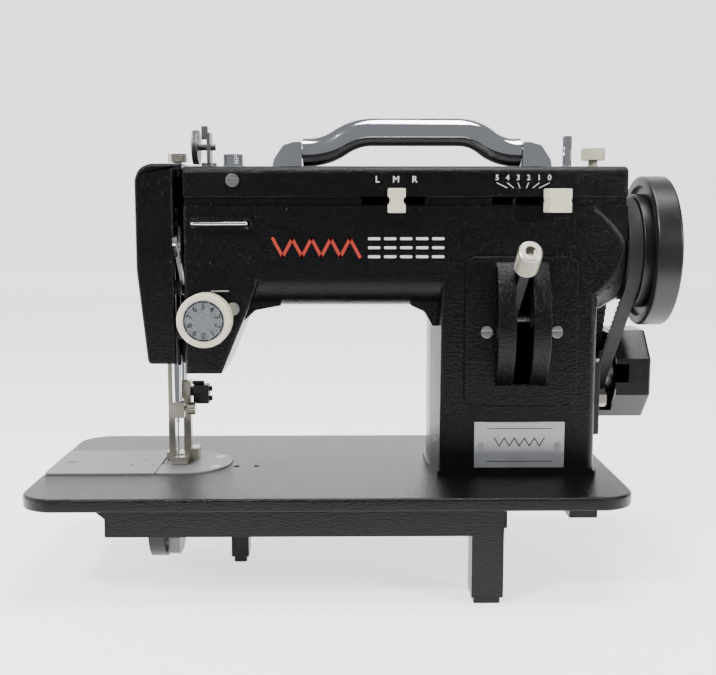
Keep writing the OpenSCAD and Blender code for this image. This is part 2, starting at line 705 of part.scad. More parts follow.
// ---------------------------------------------------------------- main shaft and handwheel
// A spur gear about X with tapered teeth and generous backlash
module spur(teeth, x0, x1, phase) {
    pitch = gear_module * teeth / 2;
    root = pitch - 1.15 * gear_module;
    slab_x(x0, x1) union() {
        circle(r = root);
        for (i = [0:teeth - 1]) rotate(phase + i * 360 / teeth)
            polygon([[root - 1, -0.95 * gear_module], [root + 0.1, -0.85 * gear_module],
                [pitch, -0.62 * gear_module], [pitch + 0.75 * gear_module, -0.3 * gear_module],
                [pitch + 0.75 * gear_module, 0.3 * gear_module], [pitch, 0.62 * gear_module],
                [root + 0.1, 0.85 * gear_module], [root - 1, 0.95 * gear_module]]);
    }
}

module main_shaft() {
    place() color("#9a9a9a") {
        rod_x(shaft_d, x_head + 0.8, wheel_x1 + 3, 0, shaft_z);
        rod_x(30, x_web + 5, x_web + 11, 0, shaft_z);
        translate([0, 0, shaft_z]) spur(pinion_teeth, gear_x, gear_x + gear_w, 90);
        rod_x(20, x_pillar + 28, x_pillar + 33, 3, shaft_z);
    }
}

module zigzag_gear() {
    place() color("#b59a5a") {
        translate([0, 0, gear_z]) spur(pinion_teeth * 2, gear_x, gear_x + gear_w, -90 + 90 / pinion_teeth);
        rod_x(8, gear_x - 2, gear_x + 20, 0, gear_z);
    }
}

module shaft_bushes() {
    place() color("#b08d57") for (x = [[x_head + 0.6, x_web + 4], [x_side - wall, x_boss]]) difference() {
        rod_x(bush_d, x[0], x[1], 0, shaft_z);
        rod_x(shaft_d + 2 * run_clear, x[0] - 1, x[1] + 1, 0, shaft_z);
    }
}

module turned_x(x, z) { translate([x, 0, z]) rotate([0, 90, 0]) rotate_extrude($fn = 96) children(); }

module handwheel() {
    r = wheel_d / 2;
    step = wheel_x - belt_x;
    place() color("#1b1b1d") turned_x(belt_x, shaft_z)
        polygon([[shaft_d / 2, -0.4], [pulley_r, -0.4], [pulley_r, belt_w + gap], [pulley_r + 5, belt_w + gap],
            [pulley_r + 5, step + 3], [r - 6, step + 3], [r - 6, step], [r - 1, step], [r, step + 1],
            [r, step + wheel_w - 1], [r - 1, step + wheel_w], [r - 5, step + wheel_w], [r - 6, step + 7],
            [15, step + 7], [15, step + 9.6], [shaft_d / 2, step + 9.6]]);
}

module clutch_knob() {
    place() color("#1b1b1d") difference() {
        rod_x(27, wheel_x + 10, wheel_x1 + 4, 0, shaft_z);
        rod_x(shaft_d + 2 * run_clear, wheel_x, wheel_x1 + 3.2, 0, shaft_z);
    }
}

// ---------------------------------------------------------------- belt and motor
centre_line = norm([motor_y, motor_down]);
belt_slope = atan2(-motor_down, motor_y);
// The belt's closed outline: an arc round each pulley, joined by the two straight runs
module belt_loop(main_r, small_r) {
    tangent = acos((main_r - small_r) / centre_line);
    main_steps = 48;
    small_steps = 24;
    polygon([
        for (i = [0:main_steps]) let (a = belt_slope + tangent + i * (360 - 2 * tangent) / main_steps)
            [main_r * cos(a), shaft_z + main_r * sin(a)],
        for (i = [0:small_steps]) let (a = belt_slope - tangent + i * 2 * tangent / small_steps)
            [motor_y + small_r * cos(a), motor_z + small_r * sin(a)]]);
}

module drive_belt() {
    slack = 0.3;
    place() color("#161616") slab_x(belt_x, belt_x + belt_w) difference() {
        belt_loop(pulley_r + slack + belt_t, motor_pulley_r + slack + belt_t);
        belt_loop(pulley_r + slack, motor_pulley_r + slack);
    }
}

module motor_bracket() {
    place() color("#151516") difference() {
        union() {
            slab_x(bracket_x, bracket_x1) polygon([[-23, under_arm - 84], [-23, under_arm - 37],
                [motor_y - 20, motor_z + 18], [motor_y + 14, motor_z + 6], [motor_y + 14, motor_z - guard_r],
                [motor_y - 14, motor_z - guard_r]]);
            rod_x(motor_d - 8, bracket_x + 0.5, bracket_x1 + 3, motor_y, motor_z);
        }
        rod_x(motor_shaft_d + 4, bracket_x - 1, bracket_x1 + 4, motor_y, motor_z);
        for (p = motor_bolts) rod_x(bolt_d + 0.4, bracket_x - 1, bracket_x1 + 1, p[0], p[1]);
    }
}

module motor_body() {
    place() color("#1a1a1b") difference() {
        union() {
            rod_x(motor_d, bracket_x - motor_len + 6, bracket_x, motor_y, motor_z);
            rod_x(motor_d - 12, bracket_x - motor_len, bracket_x - motor_len + 7, motor_y, motor_z);
        }
        rod_x(motor_shaft_d + 2 * run_clear, bracket_x - 22, bracket_x + 1, motor_y, motor_z);
    }
}

module motor_pulley() {
    place() color("#8f9092") {
        rod_x(motor_shaft_d, bracket_x - 20, belt_x + belt_w + 4, motor_y, motor_z);
        rod_x(2 * motor_pulley_r, belt_x - 1.6, belt_x + belt_w + 1.6, motor_y, motor_z);
        rod_x(2 * (motor_pulley_r + belt_t + 1.2), belt_x - 1.6, belt_x - 0.4, motor_y, motor_z);
        // the outer flange is a small flywheel
        rod_x(2 * (motor_pulley_r + belt_t + 1.2), belt_x + belt_w + 0.4, belt_x + belt_w + 5, motor_y, motor_z);
    }
}

module octagon(x0, x1, apothem) {
    translate([x0, motor_y, motor_z]) rotate([0, 90, 0]) rotate(22.5)
        cylinder(r = apothem / cos(22.5), h = x1 - x0, $fn = 8);
}

module pulley_guard() {
    mouth = belt_x + belt_w + 3;
    place() color("#121213") {
        difference() {
            octagon(x_boss, guard_x1, guard_r);
            octagon(x_boss - 1, guard_x1 - 3, guard_r - 3);
            translate([x_boss - 1, motor_y, motor_z]) rotate([90 + belt_slope, 0, 0])
                translate([0, -50, -guard_r * 0.35]) cube([mouth - x_boss + 1, 100, 60]);
            box(mouth - 1, mouth + 9, motor_y - guard_r - 1, motor_y - guard_r + 8, motor_z - 4, motor_z + 9);
        }
        box(bracket_x1, x_boss + 3, motor_y - 10, motor_y + 10, motor_z - guard_r, motor_z - guard_r + 3);
    }
}

// ---------------------------------------------------------------- needle bar
bar_z0 = 34;
bar_z1 = take_up_z + 24;
module needle_bar_frame() {
    place() color("#8b8b8c") difference() {
        union() {
            box(x_needle - 9, x_needle - 5, -4, 2.6, face_z0 + 13, lug_z0 + 12);
            for (z = [face_z0 + 13, take_up_z - 4]) box(x_needle - 9, x_needle + 4.2, -5, 4.2, z, z + 9);
            box(x_needle - 9, x_needle + 3, -4, 2.6, lug_z0, lug_z0 + 12);
        }
        rod_z(needle_bar_d + 2 * run_clear, 0, take_up_z + 10, x_needle, 0);
        rod_y(6 + 2 * run_clear, -8, 8, x_needle, lug_z0 + 6);
    }
}

module needle_bar() {
    place() color("#cfd0d0") rod_z(needle_bar_d, bar_z0, bar_z1, x_needle, 0);
}

module needle_clamp() {
    place() color("#c8c8c8") {
        difference() {
            box(x_needle - 3.9, x_needle + 4.8, -4.6, 4.2, bar_z0 - 2.4, bar_z0 + 8);
            rod_z(needle_bar_d, bar_z0, bar_z0 + 9, x_needle, 0);
            rod_z(2, bar_z0 - 3, bar_z0 + 1, x_needle, 0);
        }
        rod_x(3, x_needle + 4.8 - eps, x_needle + 7, -0.5, bar_z0 + 3.6);
        rod_x(8.4, x_needle + 7 - eps, x_needle + 12, -0.5, bar_z0 + 3.6);
    }
}

module needle() {
    place() color("#d6d6d6") {
        rod_z(2, bar_z0 - 6, bar_z0, x_needle, 0);
        rod_z(1.1, 8, bar_z0 - 6 + eps, x_needle, 0);
        translate([x_needle, 0, 3.5]) cylinder(d1 = 0.2, d2 = 1.1, h = 4.5 + eps);
    }
}

// ---------------------------------------------------------------- presser bar and feet
foot_z = plate_proud + 0.3;
module presser_bar() {
    place() color("#cfd0d0") {
        rod_z(presser_bar_d, foot_z + 42, lug_z0 + 10, presser_x, presser_y);
        rod_z(presser_bar_d + 3, take_up_z - 2, take_up_z + 4, presser_x, presser_y);
    }
}

module presser_spring() {
    place() color("#a8a8a8") difference() {
        rod_z(presser_bar_d + 3.6, take_up_z + 4.2, lug_z0 - 0.2, presser_x, presser_y);
        rod_z(presser_bar_d + 0.6, take_up_z + 4, lug_z0, presser_x, presser_y);
    }
}

module pressure_screw() {
    place() color("#a9a9a6") {
        rod_z(10, lug_z0 + 21, lug_z1 + 3, presser_x, presser_y);
        rod_z(6, lug_z1, face_z1 + 5, presser_x, presser_y);
        rod_z(12.4, face_z1 + 2.6, face_z1 + 8, presser_x, presser_y);
    }
}

module presser_foot() {
    shank_x0 = x_needle + 2.2;
    shank_x1 = x_needle + 7.3;
    place() color("#9d9c9a") difference() {
        union() {
            box(shank_x0, shank_x1, presser_y - 5, presser_y + 3, foot_z, foot_z + 43);
            box(presser_x - 5, shank_x1, presser_y - 5.5, presser_y + 5.5, foot_z + 41, foot_z + 53);
            box(x_needle - 3.8, shank_x1, -8, 3.4, foot_z, foot_z + 4.6);
            box(x_needle - 1.5, shank_x1, 3.4 - eps, presser_y + 3, foot_z, foot_z + 4.6);
            box(shank_x1 - eps, shank_x1 + 5.4, 4, 16, foot_z, foot_z + 8);
        }
        rod_z(presser_bar_d, foot_z + 42, foot_z + 54, presser_x, presser_y);
        box(x_needle - 3.4, x_needle + 3.4, -2.2, 2.2, foot_z - 1, foot_z + 6);
    }
}

module thread_cutter() {
    x0 = x_needle + 9;
    z0 = foot_z + 37.5;
    place() color("#161617") {
        box(x0, x0 + 10.5, presser_y - 5, presser_y + 5, z0, z0 + 12.6);
        box(x_needle + 7.3, x0 + eps, presser_y - 3, presser_y + 3, z0 + 5, z0 + 11);
        box(x0 - 1, x0 + 7, presser_y - 1.5, presser_y + 1.5, z0 + 12.6 - eps, z0 + 15);
        for (z = [3, 9.6]) rod_x(3.4, x0 + 10.5 - eps, x0 + 12.4, presser_y, z0 + z);
    }
}

module walking_foot() {
    place() color("#2a2a2b") {
        box(walk_x - 2.1, walk_x + 2.1, 4.9, 8.1, 26, face_z0 + 40);
        box(walk_x - 2.2, walk_x + 2.2, 4.6, 10.6, foot_z + 5, 28);
        box(walk_x - 4, walk_x + 2.2, 4.6, 19, foot_z, foot_z + 5.2);
    }
}

lifter_reach = 19;
module lifter_lever() {
    place() color("#c4c4c4") difference() {
        union() {
            rod_y(15, body_rear + 1.5, body_rear + 6, lifter_x, lifter_z);
            box(lifter_x - 4, lifter_x + 4, body_rear + 1.5, body_rear + 5, lifter_z - lifter_reach, lifter_z);
            rod_y(6, body_rear + 1.5, body_rear + 20, lifter_x, lifter_z - lifter_reach);
            box(lifter_x - 6, lifter_x + 6, body_rear + 1.5, body_rear + 6, lifter_z, lifter_z + 15);
        }
        rod_y(6 + 2 * run_clear, body_rear, body_rear + 7, lifter_x, lifter_z);
    }
}

module take_up_lever() {
    reach = 46.7;
    tilt = 41.4;
    thick = 1.8;
    place() color("#cfd0d0") translate([x_head - 5.2, take_up_y, take_up_z]) rotate([-tilt, 0, 0]) difference() {
        union() {
            rod_x(12, 0, thick, 0, 0);
            box(0, thick, -reach, 0, -2.4, 2.4);
            rod_x(7, 0, thick, -reach, 0);
        }
        rod_x(5 + 2 * run_clear, -1, 4, 0, 0);
        rod_x(2.4, -1, 4, -reach, 0);
    }
}

// ---------------------------------------------------------------- thread tension and guides
// The stud that the dial turns on, with its two tension discs
module tension_post() {
    place() color("#c9c9c8") {
        rod_y(post_d, front_y - 17, front_y + 6, dial_x, dial_z);
        for (y = [4.6, 2.4]) difference() {
            rod_y(24, front_y - y, front_y - y + 1.6, dial_x, dial_z);
            rod_y(5.4, front_y - y - 1, front_y - y + 3, dial_x, dial_z);
        }
    }
}

module tension_dial() {
    place() color("#e9e3d0") difference() {
        rod_y(dial_d, front_y - 18.5, front_y - 5.2, dial_x, dial_z);
        rod_y(25.4, front_y - 19.5, front_y - 17.6, dial_x, dial_z);
        rod_y(5 + 2 * run_clear, front_y - 17.3, front_y, dial_x, dial_z);
    }
}

module dial_face() {
    place() color("#9fa3a6") rod_y(25.2, front_y - 18.9, front_y - 17.6, dial_x, dial_z);
}

module check_spring() {
    place() color("#c9c9c8") {
        rod_y(8, front_y - 4, front_y, dial_x + 16.5, dial_z + 6);
        rod_x(wire_d, dial_x + 3, dial_x + 14, front_y - 1.8, dial_z + 17);
        rod_y(wire_d, front_y - 2.3, front_y + 2, dial_x + 3, dial_z + 17);
    }
}

module thread_guide() {
    place() color("#d2d2d0") {
        rod_x(guide_bar_d, guide_bar_x[0], guide_bar_x[1], front_y - 5, guide_bar_z);
        for (x = guide_bar_x) {
            rod_y(guide_bar_d, front_y - 5, front_y + 3, x, guide_bar_z);
            translate([x, front_y - 5, guide_bar_z]) sphere(d = guide_bar_d);
        }
    }
}

module pretension() {
    x = x_needle + 21;
    z = cover_z + 13;
    place() {
        color("#8f8f8f") rod_z(10, cover_z, cover_z + 3, x + 2.5, 0);
        color("#8f8f8f") box(x + 2, x + 4, -7, 7, cover_z + 3 - eps, z + 9);
        color("#8f8f8f") rod_x(4, x - 8, x + 7, 0, z);
        color("#7d7d7d") for (dx = [-7.4, -5.2]) rod_x(22, x + dx, x + dx + 1.6, 0, z);
        color("#e6dfc8") box(x - 2, x + 2 + eps, -2, 2, z + 5, z + 13.5);
    }
}

module winder_spindle() {
    place() color("#cfcfcd") {
        rod_z(winder_stem_d, cover_z - 8, cover_z + 1, winder_x, 0);
        rod_z(winder_d, cover_z + 1 - eps, cover_z + 20.4, winder_x, 0);
    }
}

module winder_stop() {
    place() color("#e6dfc8") {
        rod_z(6, cover_z - 8, cover_z + 6, winder_stop_x, 0);
        rod_z(15.6, cover_z + 5, cover_z + 12.4, winder_stop_x, 0);
    }
}

// ---------------------------------------------------------------- feed and hook under the bed
module feed_dog() {
    place() color("#a0a0a0") {
        for (x = [x_needle - 9, x_needle + 6]) {
            box(x - 0.9, x + 0.9, -3, 13, -8 + eps, plate_proud - 0.4);
            box(x - 1.8, x + 1.8, -5, 23, plate_z - 7, plate_z - 1.5);
        }
        box(x_needle - 12, x_needle + 9, 17, 23, plate_z - 7, plate_z - 1.5);
        box(x_needle - 4, x_needle + 2, 18, 23, -bed_t - 6, plate_z - 6);
        box(x_needle - 4, x_needle + 2, 18, feed_y - 8, -bed_t - 6, -bed_t - 1.4);
    }
}

module feed_shaft() {
    place() color("#8f9092") {
        rod_x(8, x_needle - 18, x_mid - 14, feed_y, feed_z);
        box(x_needle - 4, x_needle + 2, feed_y - 4, feed_y + 4, feed_z, -bed_t - 1.6);
        rod_x(feed_disc_d, x_mid - 20, x_mid - 14, feed_y, feed_z);
    }
}

module hook_shaft() {
    crank_x = x_mid - 28;
    place() color("#8f9092") {
        rod_x(hook_shaft_d, x_needle - 5.8, crank_x + 5, 0, -hook_down);
        rod_x(34, x_needle - 7.6, x_needle + 1.5, 0, -hook_down);
        slab_x(x_needle - 5.8, x_needle + 1.5) polygon([[-11, -hook_down], [-13, -hook_down - 21],
            [-7, -hook_down - 24], [7, -hook_down - 24], [13, -hook_down - 21], [11, -hook_down]]);
        box(crank_x, crank_x + 5, -rod_throw - 3, 0, -hook_down - 5, -hook_down + 5);
        rod_x(6, crank_x + 5 - eps, crank_x + 11, -rod_throw, -hook_down);
    }
}

module connecting_rod() {
    x = x_mid - 22.4;
    place() color("#8f9092") difference() {
        union() {
            rod_x(13, x, x + 5, -rod_throw, -hook_down);
            box(x, x + 5, -rod_throw - 3, 3 - rod_throw, -hook_down, shaft_z - 30);
        }
        rod_x(6 + 2 * run_clear, x - 1, x + 6, -rod_throw, -hook_down);
    }
}

module shuttle_hook() {
    place() color("#a3a3a3") difference() {
        rod_x(2 * hook_r, race_x0 + 1.5, x_needle - 7.6, 0, -hook_down);
        rod_x(29.4, race_x0, race_x0 + 8, 0, -hook_down);
        slab_x(race_x0, x_needle - 6) polygon([[12, -hook_down + 3], [26, -hook_down + 6], [26, -hook_down + 16],
            [17, -hook_down + 14]]);
    }
}

module shuttle_race() {
    place() color("#151516") difference() {
        union() {
            rod_x(2 * hook_r + 11, race_x0, race_x1 - 0.4, 0, -hook_down);
            box(race_x0, race_x1 - 0.4, -40, -17, -bed_t - 12, -bed_t);
        }
        rod_x(2 * hook_r + 0.8, race_x0 - 1, race_x1 + 1, 0, -hook_down);
    }
}

module bobbin_case() {
    place() color("#bdbdbb") {
        difference() {
            rod_x(28.6, race_x0 - 1.4, race_x0 + 7.6, 0, -hook_down);
            rod_x(bobbin_d + 1.2, race_x0 - 0.4, race_x0 + 8, 0, -hook_down);
        }
        rod_x(5, race_x0 - 1, race_x0 + 6.5, 0, -hook_down);
    }
}

module bobbin() {
    place() color("#d0d0ce") difference() {
        rod_x(bobbin_d, race_x0 + 0.2, race_x0 + 7.2, 0, -hook_down);
        turned_x(race_x0 + 0.2, -hook_down) polygon([[5, 1], [bobbin_d / 2 + 1, 1], [bobbin_d / 2 + 1, 6], [5, 6]]);
        rod_x(6, race_x0 - 1, race_x0 + 8, 0, -hook_down);
    }
}

bed();
arm_casting();
top_cover();
face_plate();
needle_plate();
slide_plate();
small_screws();
slotted_screws();
hex_bolts();
cover_nut();
length_panel();
lever_guide();
lever_pins();
length_lever();
length_knob();
position_lever();
position_knob();
width_lever();
width_knob();
name_badge();
handle_brackets();
carry_handle();
main_shaft();
shaft_bushes();
handwheel();
clutch_knob();
zigzag_gear();
drive_belt();
motor_bracket();
motor_body();
motor_pulley();
pulley_guard();
needle_bar_frame();
needle_bar();
needle_clamp();
needle();
presser_bar();
presser_foot();
presser_spring();
pressure_screw();
thread_cutter();
walking_foot();
lifter_lever();
take_up_lever();
tension_post();
tension_dial();
dial_face();
check_spring();
thread_guide();
pretension();
winder_spindle();
winder_stop();
feed_dog();
feed_shaft();
hook_shaft();
connecting_rod();
shuttle_hook();
shuttle_race();
bobbin_case();
bobbin();
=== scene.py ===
"""The looks of a flatbed sewing machine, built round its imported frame."""
import json
import math

import bmesh
import bpy
from mathutils import Matrix, Vector


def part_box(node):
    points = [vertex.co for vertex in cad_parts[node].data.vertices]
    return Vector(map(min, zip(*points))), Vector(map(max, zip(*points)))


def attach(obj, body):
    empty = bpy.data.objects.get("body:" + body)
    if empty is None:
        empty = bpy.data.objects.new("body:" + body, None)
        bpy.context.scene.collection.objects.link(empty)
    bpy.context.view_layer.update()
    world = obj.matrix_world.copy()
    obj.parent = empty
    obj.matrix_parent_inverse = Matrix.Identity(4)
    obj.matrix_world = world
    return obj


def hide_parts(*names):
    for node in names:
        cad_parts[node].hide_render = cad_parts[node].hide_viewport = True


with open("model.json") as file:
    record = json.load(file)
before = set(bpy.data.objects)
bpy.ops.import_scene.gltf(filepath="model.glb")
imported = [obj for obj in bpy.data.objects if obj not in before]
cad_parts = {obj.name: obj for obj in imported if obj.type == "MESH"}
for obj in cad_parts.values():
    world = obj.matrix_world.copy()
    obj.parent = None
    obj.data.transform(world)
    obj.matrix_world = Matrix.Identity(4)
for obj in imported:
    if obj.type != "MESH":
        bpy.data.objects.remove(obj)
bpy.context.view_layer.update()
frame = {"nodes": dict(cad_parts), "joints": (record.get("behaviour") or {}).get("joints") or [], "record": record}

bl_info = {
    "name": "Sewing machine",
    "version": (1, 0, 0),
    "blender": (4, 5, 0),
    "location": "3D View > Sidebar > Sewing machine",
    "description": "Builds the castings, controls, finishes and stage of a flatbed sewing machine",
    "category": "Object",
}

MM = 0.001
FRONT_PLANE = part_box("name_badge")[1][1]
COVER_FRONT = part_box("top_cover")[0][1]
BODY_OF = {node: body for body, nodes in frame["record"]["behaviour"]["bodies"].items() for node in nodes}
SLOT_OF = {part["node"]: part["material_slot"] for part in frame["record"]["subparts"]}
BED_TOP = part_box("bed")[1][2]
FACING_FRONT = math.radians(90)


# ---------------------------------------------------------------- settings
def metres(name, description, default):
    return bpy.props.FloatProperty(name=name, description=description, default=default, unit="LENGTH",
                                   precision=5)


def colour(name, description, default):
    return bpy.props.FloatVectorProperty(name=name, description=description, default=default, size=3,
                                         subtype="COLOR", min=0, max=1)


class CastingSettings(bpy.types.PropertyGroup):
    edge: metres("Casting edge", "Radius of the casting's outer edges", 2.6 * MM)
    rim: metres("Bed rim", "Radius round the bed's rim", 1.8 * MM)
    cover_edge: metres("Cover edge", "Radius of the cover's ends", 2.2 * MM)
    fine_edge: metres("Fine edge", "Broken edge of plates and small fittings", 0.35 * MM)
    grain: metres("Grain", "Size of the lumps in the enamel", 1.1 * MM)
    enamel: colour("Enamel", "Colour of the cast body", (0.002, 0.002, 0.0022))
    cream: colour("Cream", "Colour of the moulded knobs", (0.76, 0.70, 0.55))


class MarkSettings(bpy.types.PropertyGroup):
    letter: metres("Letters", "Height of the letters over the position lever", 5.6 * MM)
    digit: metres("Digits", "Height of the digits of the width scale", 4.6 * MM)
    dial_digit: metres("Dial digits", "Height of the digits on the dial", 5.2 * MM)
    print_depth: metres("Print depth", "Thickness of the printed marks", 0.08 * MM)
    red: colour("Red", "Red of the zigzag ornament", (0.42, 0.035, 0.02))
    white: colour("White", "White of the printed marks", (0.78, 0.78, 0.76))


class StageSettings(bpy.types.PropertyGroup):
    camera_place: bpy.props.FloatVectorProperty(
        name="Camera", description="Where the camera stands", default=(-0.0103, -0.6861, 0.2327), size=3,
        subtype="TRANSLATION", unit="LENGTH")
    tilt: bpy.props.FloatProperty(name="Tilt", description="Camera's tilt from straight down",
                                  default=math.radians(83.16), subtype="ANGLE")
    turn: bpy.props.FloatProperty(name="Turn", description="Camera's turn about the upright",
                                  default=math.radians(-0.77), subtype="ANGLE")
    lens: bpy.props.FloatProperty(name="Lens", description="Focal length", default=52.33, unit="CAMERA")
    floor: colour("Floor", "Colour of the floor", (0.93, 0.93, 0.93))


# ---------------------------------------------------------------- finishes
class Signal:
    """A number that varies over a surface, so that shader maths reads as arithmetic."""

    def __init__(self, finish, socket):
        self.finish = finish
        self.socket = socket

    def _join(self, operation, first, second):
        made = self.finish.node("ShaderNodeMath", {"operation": operation}, {0: first, 1: second})
        return Signal(self.finish, made.outputs[0])

    def __add__(self, other):
        return self._join("ADD", self, other)

    __radd__ = __add__

    def __sub__(self, other):
        return self._join("SUBTRACT", self, other)

    def __rsub__(self, other):
        return self._join("SUBTRACT", other, self)

    def __mul__(self, other):
        return self._join("MULTIPLY", self, other)

    __rmul__ = __mul__


class Finish:
    """One material: a Principled surface with its colour, roughness and relief from object space."""

    def __init__(self, name, base, roughness, metallic=0.0, coat=0.0):
        self.material = bpy.data.materials.new(name)
        self.material.use_nodes = True
        self.tree = self.material.node_tree
        self.shader = self.tree.nodes["Principled BSDF"]
        self.shader.inputs["Base Color"].default_value = (*base, 1)
        self.shader.inputs["Roughness"].default_value = roughness
        self.shader.inputs["Metallic"].default_value = metallic
        self.shader.inputs["Coat Weight"].default_value = coat
        self.shader.inputs["Coat Roughness"].default_value = 0.08
        self.place = self.node("ShaderNodeTexCoord", {}, {}).outputs["Object"]

    def node(self, kind, settings, sockets):
        made = self.tree.nodes.new(kind)
        for key, value in settings.items():
            setattr(made, key, value)
        for key, value in sockets.items():
            source = value.socket if isinstance(value, Signal) else value
            if isinstance(source, bpy.types.NodeSocket):
                self.tree.links.new(source, made.inputs[key])
            else:
                made.inputs[key].default_value = source
        return made

    def stretched(self, scale):
        return self.node("ShaderNodeMapping", {}, {"Vector": self.place, "Scale": scale}).outputs[0]

    def cloud(self, size, detail=2.0, scale=(1, 1, 1)):
        made = self.node("ShaderNodeTexNoise", {}, {"Vector": self.stretched(scale), "Scale": 1 / size,
                                                    "Detail": detail})
        return Signal(self, made.outputs[0])

    def cells(self, size):
        made = self.node("ShaderNodeTexVoronoi", {"feature": "SMOOTH_F1"},
                         {"Vector": self.place, "Scale": 1 / size})
        return Signal(self, made.outputs["Distance"])

    def tint(self, first, second, amount):
        made = self.node("ShaderNodeMix", {"data_type": "RGBA"},
                         {0: amount, 6: (*first, 1), 7: (*second, 1)})
        self.tree.links.new(made.outputs[2], self.shader.inputs["Base Color"])

    def rough(self, signal):
        self.tree.links.new(signal.socket, self.shader.inputs["Roughness"])

    def relief(self, height, distance, strength=1.0):
        made = self.node("ShaderNodeBump", {},
                         {"Height": height, "Distance": distance, "Strength": strength})
        self.tree.links.new(made.outputs[0], self.shader.inputs["Normal"])


def shade(base, factor):
    return tuple(min(1.0, channel * factor) for channel in base)


def enamel_finish(settings):
    made = Finish("black_enamel", settings.enamel, 0.16)
    made.shader.inputs["Specular IOR Level"].default_value = 0.24
    lumps = made.cells(settings.grain)
    fine = made.cloud(settings.grain * 0.5, 1.0)
    wear = made.cloud(60 * MM, 3.0)
    made.relief(lumps * 0.5 + fine * 0.9, 0.3 * MM)
    made.rough(fine * 0.1 + wear * 0.08 + 0.08)
    made.tint(settings.enamel, shade(settings.enamel, 2.2), wear)
    return made


def grained_metal(name, base, roughness, scale, metallic=1.0, depth=0.012 * MM):
    """Metal with a ground or brushed grain: a large scale value is across the grain."""
    made = Finish(name, base, roughness, metallic)
    grain = made.cloud(1.6 * MM, 3.0, scale)
    stain = made.cloud(14 * MM, 2.0)
    made.relief(grain, depth)
    made.rough(grain * 0.16 + stain * 0.1 + (roughness - 0.12))
    made.tint(shade(base, 0.84), shade(base, 1.08), stain * 0.6 + grain * 0.4)
    return made


def polished_metal(name, base, roughness):
    made = Finish(name, base, roughness, 1.0)
    smear = made.cloud(16 * MM, 4.0)
    pits = made.cloud(0.7 * MM, 1.0)
    made.rough(smear * 0.1 + pits * 0.03 + max(roughness - 0.05, 0.0))
    made.relief(pits, 0.004 * MM)
    made.tint(shade(base, 0.9), shade(base, 1.04), smear)
    return made


def moulded(name, base, roughness, depth, size=0.9 * MM):
    made = Finish(name, base, roughness)
    orange_peel = made.cloud(size, 2.0)
    handling = made.cloud(9 * MM, 3.0)
    made.relief(orange_peel, depth)
    made.rough(handling * 0.16 + orange_peel * 0.08 + (roughness - 0.1))
    made.tint(shade(base, 0.84), shade(base, 1.06), handling)
    return made


def dial_metal_finish():
    made = Finish("dial_metal", (0.2, 0.21, 0.22), 0.45, 0.4)
    stipple = made.cells(0.55 * MM)
    made.relief(stipple, 0.12 * MM)
    made.rough(stipple * 0.2 + 0.34)
    made.tint((0.09, 0.095, 0.1), (0.34, 0.36, 0.38), stipple)
    return made


def print_finish(name, base):
    made = Finish(name, base, 0.5)
    worn = made.cloud(1.8 * MM, 3.0)
    made.rough(worn * 0.2 + 0.4)
    made.tint(shade(base, 0.8), base, worn)
    return made


FINISHES = {}


def make_finishes(casting, marks):
    """Fills FINISHES with one material for each of the record's slots and two printed colours."""
    across_y, across_x = (1, 14, 14), (14, 1, 14)
    steel = (0.5, 0.51, 0.52)
    FINISHES.update({
        "black_enamel": enamel_finish(casting),
        "satin_black": moulded("satin_black", (0.006, 0.006, 0.007), 0.36, 0.03 * MM),
        "plate_steel": grained_metal("plate_steel", (0.33, 0.34, 0.345), 0.5, across_y, 0.7),
        "bright_steel": grained_metal("bright_steel", (0.52, 0.52, 0.51), 0.28, across_x),
        "tool_steel": grained_metal("tool_steel", (0.2, 0.2, 0.205), 0.42, across_x),
        "chrome": polished_metal("chrome", (0.8, 0.81, 0.82), 0.07),
        "nickel": grained_metal("nickel", (0.5, 0.47, 0.4), 0.3, (4, 4, 4)),
        "cream_plastic": moulded("cream_plastic", casting.cream, 0.38, 0.02 * MM),
        "black_plastic": moulded("black_plastic", (0.008, 0.008, 0.009), 0.22, 0.012 * MM),
        "belt_rubber": moulded("belt_rubber", (0.012, 0.012, 0.012), 0.66, 0.06 * MM, 0.4 * MM),
        "bronze": grained_metal("bronze", (0.5, 0.33, 0.14), 0.34, across_x),
        "badge_metal": grained_metal("badge_metal", shade(steel, 1.15), 0.34, across_y, 0.85),
        "dial_metal": dial_metal_finish(),
        "white_print": print_finish("white_print", marks.white),
        "red_print": print_finish("red_print", marks.red),
        "black_print": print_finish("black_print", (0.02, 0.02, 0.02)),
    })


def paint(piece, finish):
    piece.data.materials.clear()
    piece.data.materials.append(FINISHES[finish].material)


# ---------------------------------------------------------------- modelling helpers
def only(piece):
    """Leaves one object selected and active."""
    bpy.ops.object.select_all(action="DESELECT")
    piece.select_set(True)
    bpy.context.view_layer.objects.active = piece


def edit(piece):
    only(piece)
    bpy.ops.object.mode_set(mode="EDIT")


def leave_edit():
    bpy.ops.object.mode_set(mode="OBJECT")


def near(value, target, room=0.05 * MM):
    return abs(value - target) < room


def pick_edges(piece, wanted, least_angle=25):
    """Selects the outward edges sharper than least_angle whose two ends pass the test."""
    mesh = bmesh.from_edit_mesh(piece.data)
    mesh.select_mode = {"EDGE"}
    bpy.ops.mesh.select_mode(type="EDGE")
    bpy.ops.mesh.select_all(action="DESELECT")
    count = 0
    for edge in mesh.edges:
        sharp = len(edge.link_faces) == 2 and edge.calc_face_angle(0) > math.radians(least_angle)
        if sharp and edge.is_convex and wanted(edge.verts[0].co, edge.verts[1].co):
            edge.select_set(True)
            count += 1
    bmesh.update_edit_mesh(piece.data)
    return count


def pick_faces(piece, wanted):
    """Selects the faces whose normal and middle pass the test."""
    mesh = bmesh.from_edit_mesh(piece.data)
    bpy.ops.mesh.select_mode(type="FACE")
    bpy.ops.mesh.select_all(action="DESELECT")
    for face in mesh.faces:
        if wanted(face.normal, face.calc_center_median()):
            face.select_set(True)
    bmesh.update_edit_mesh(piece.data)


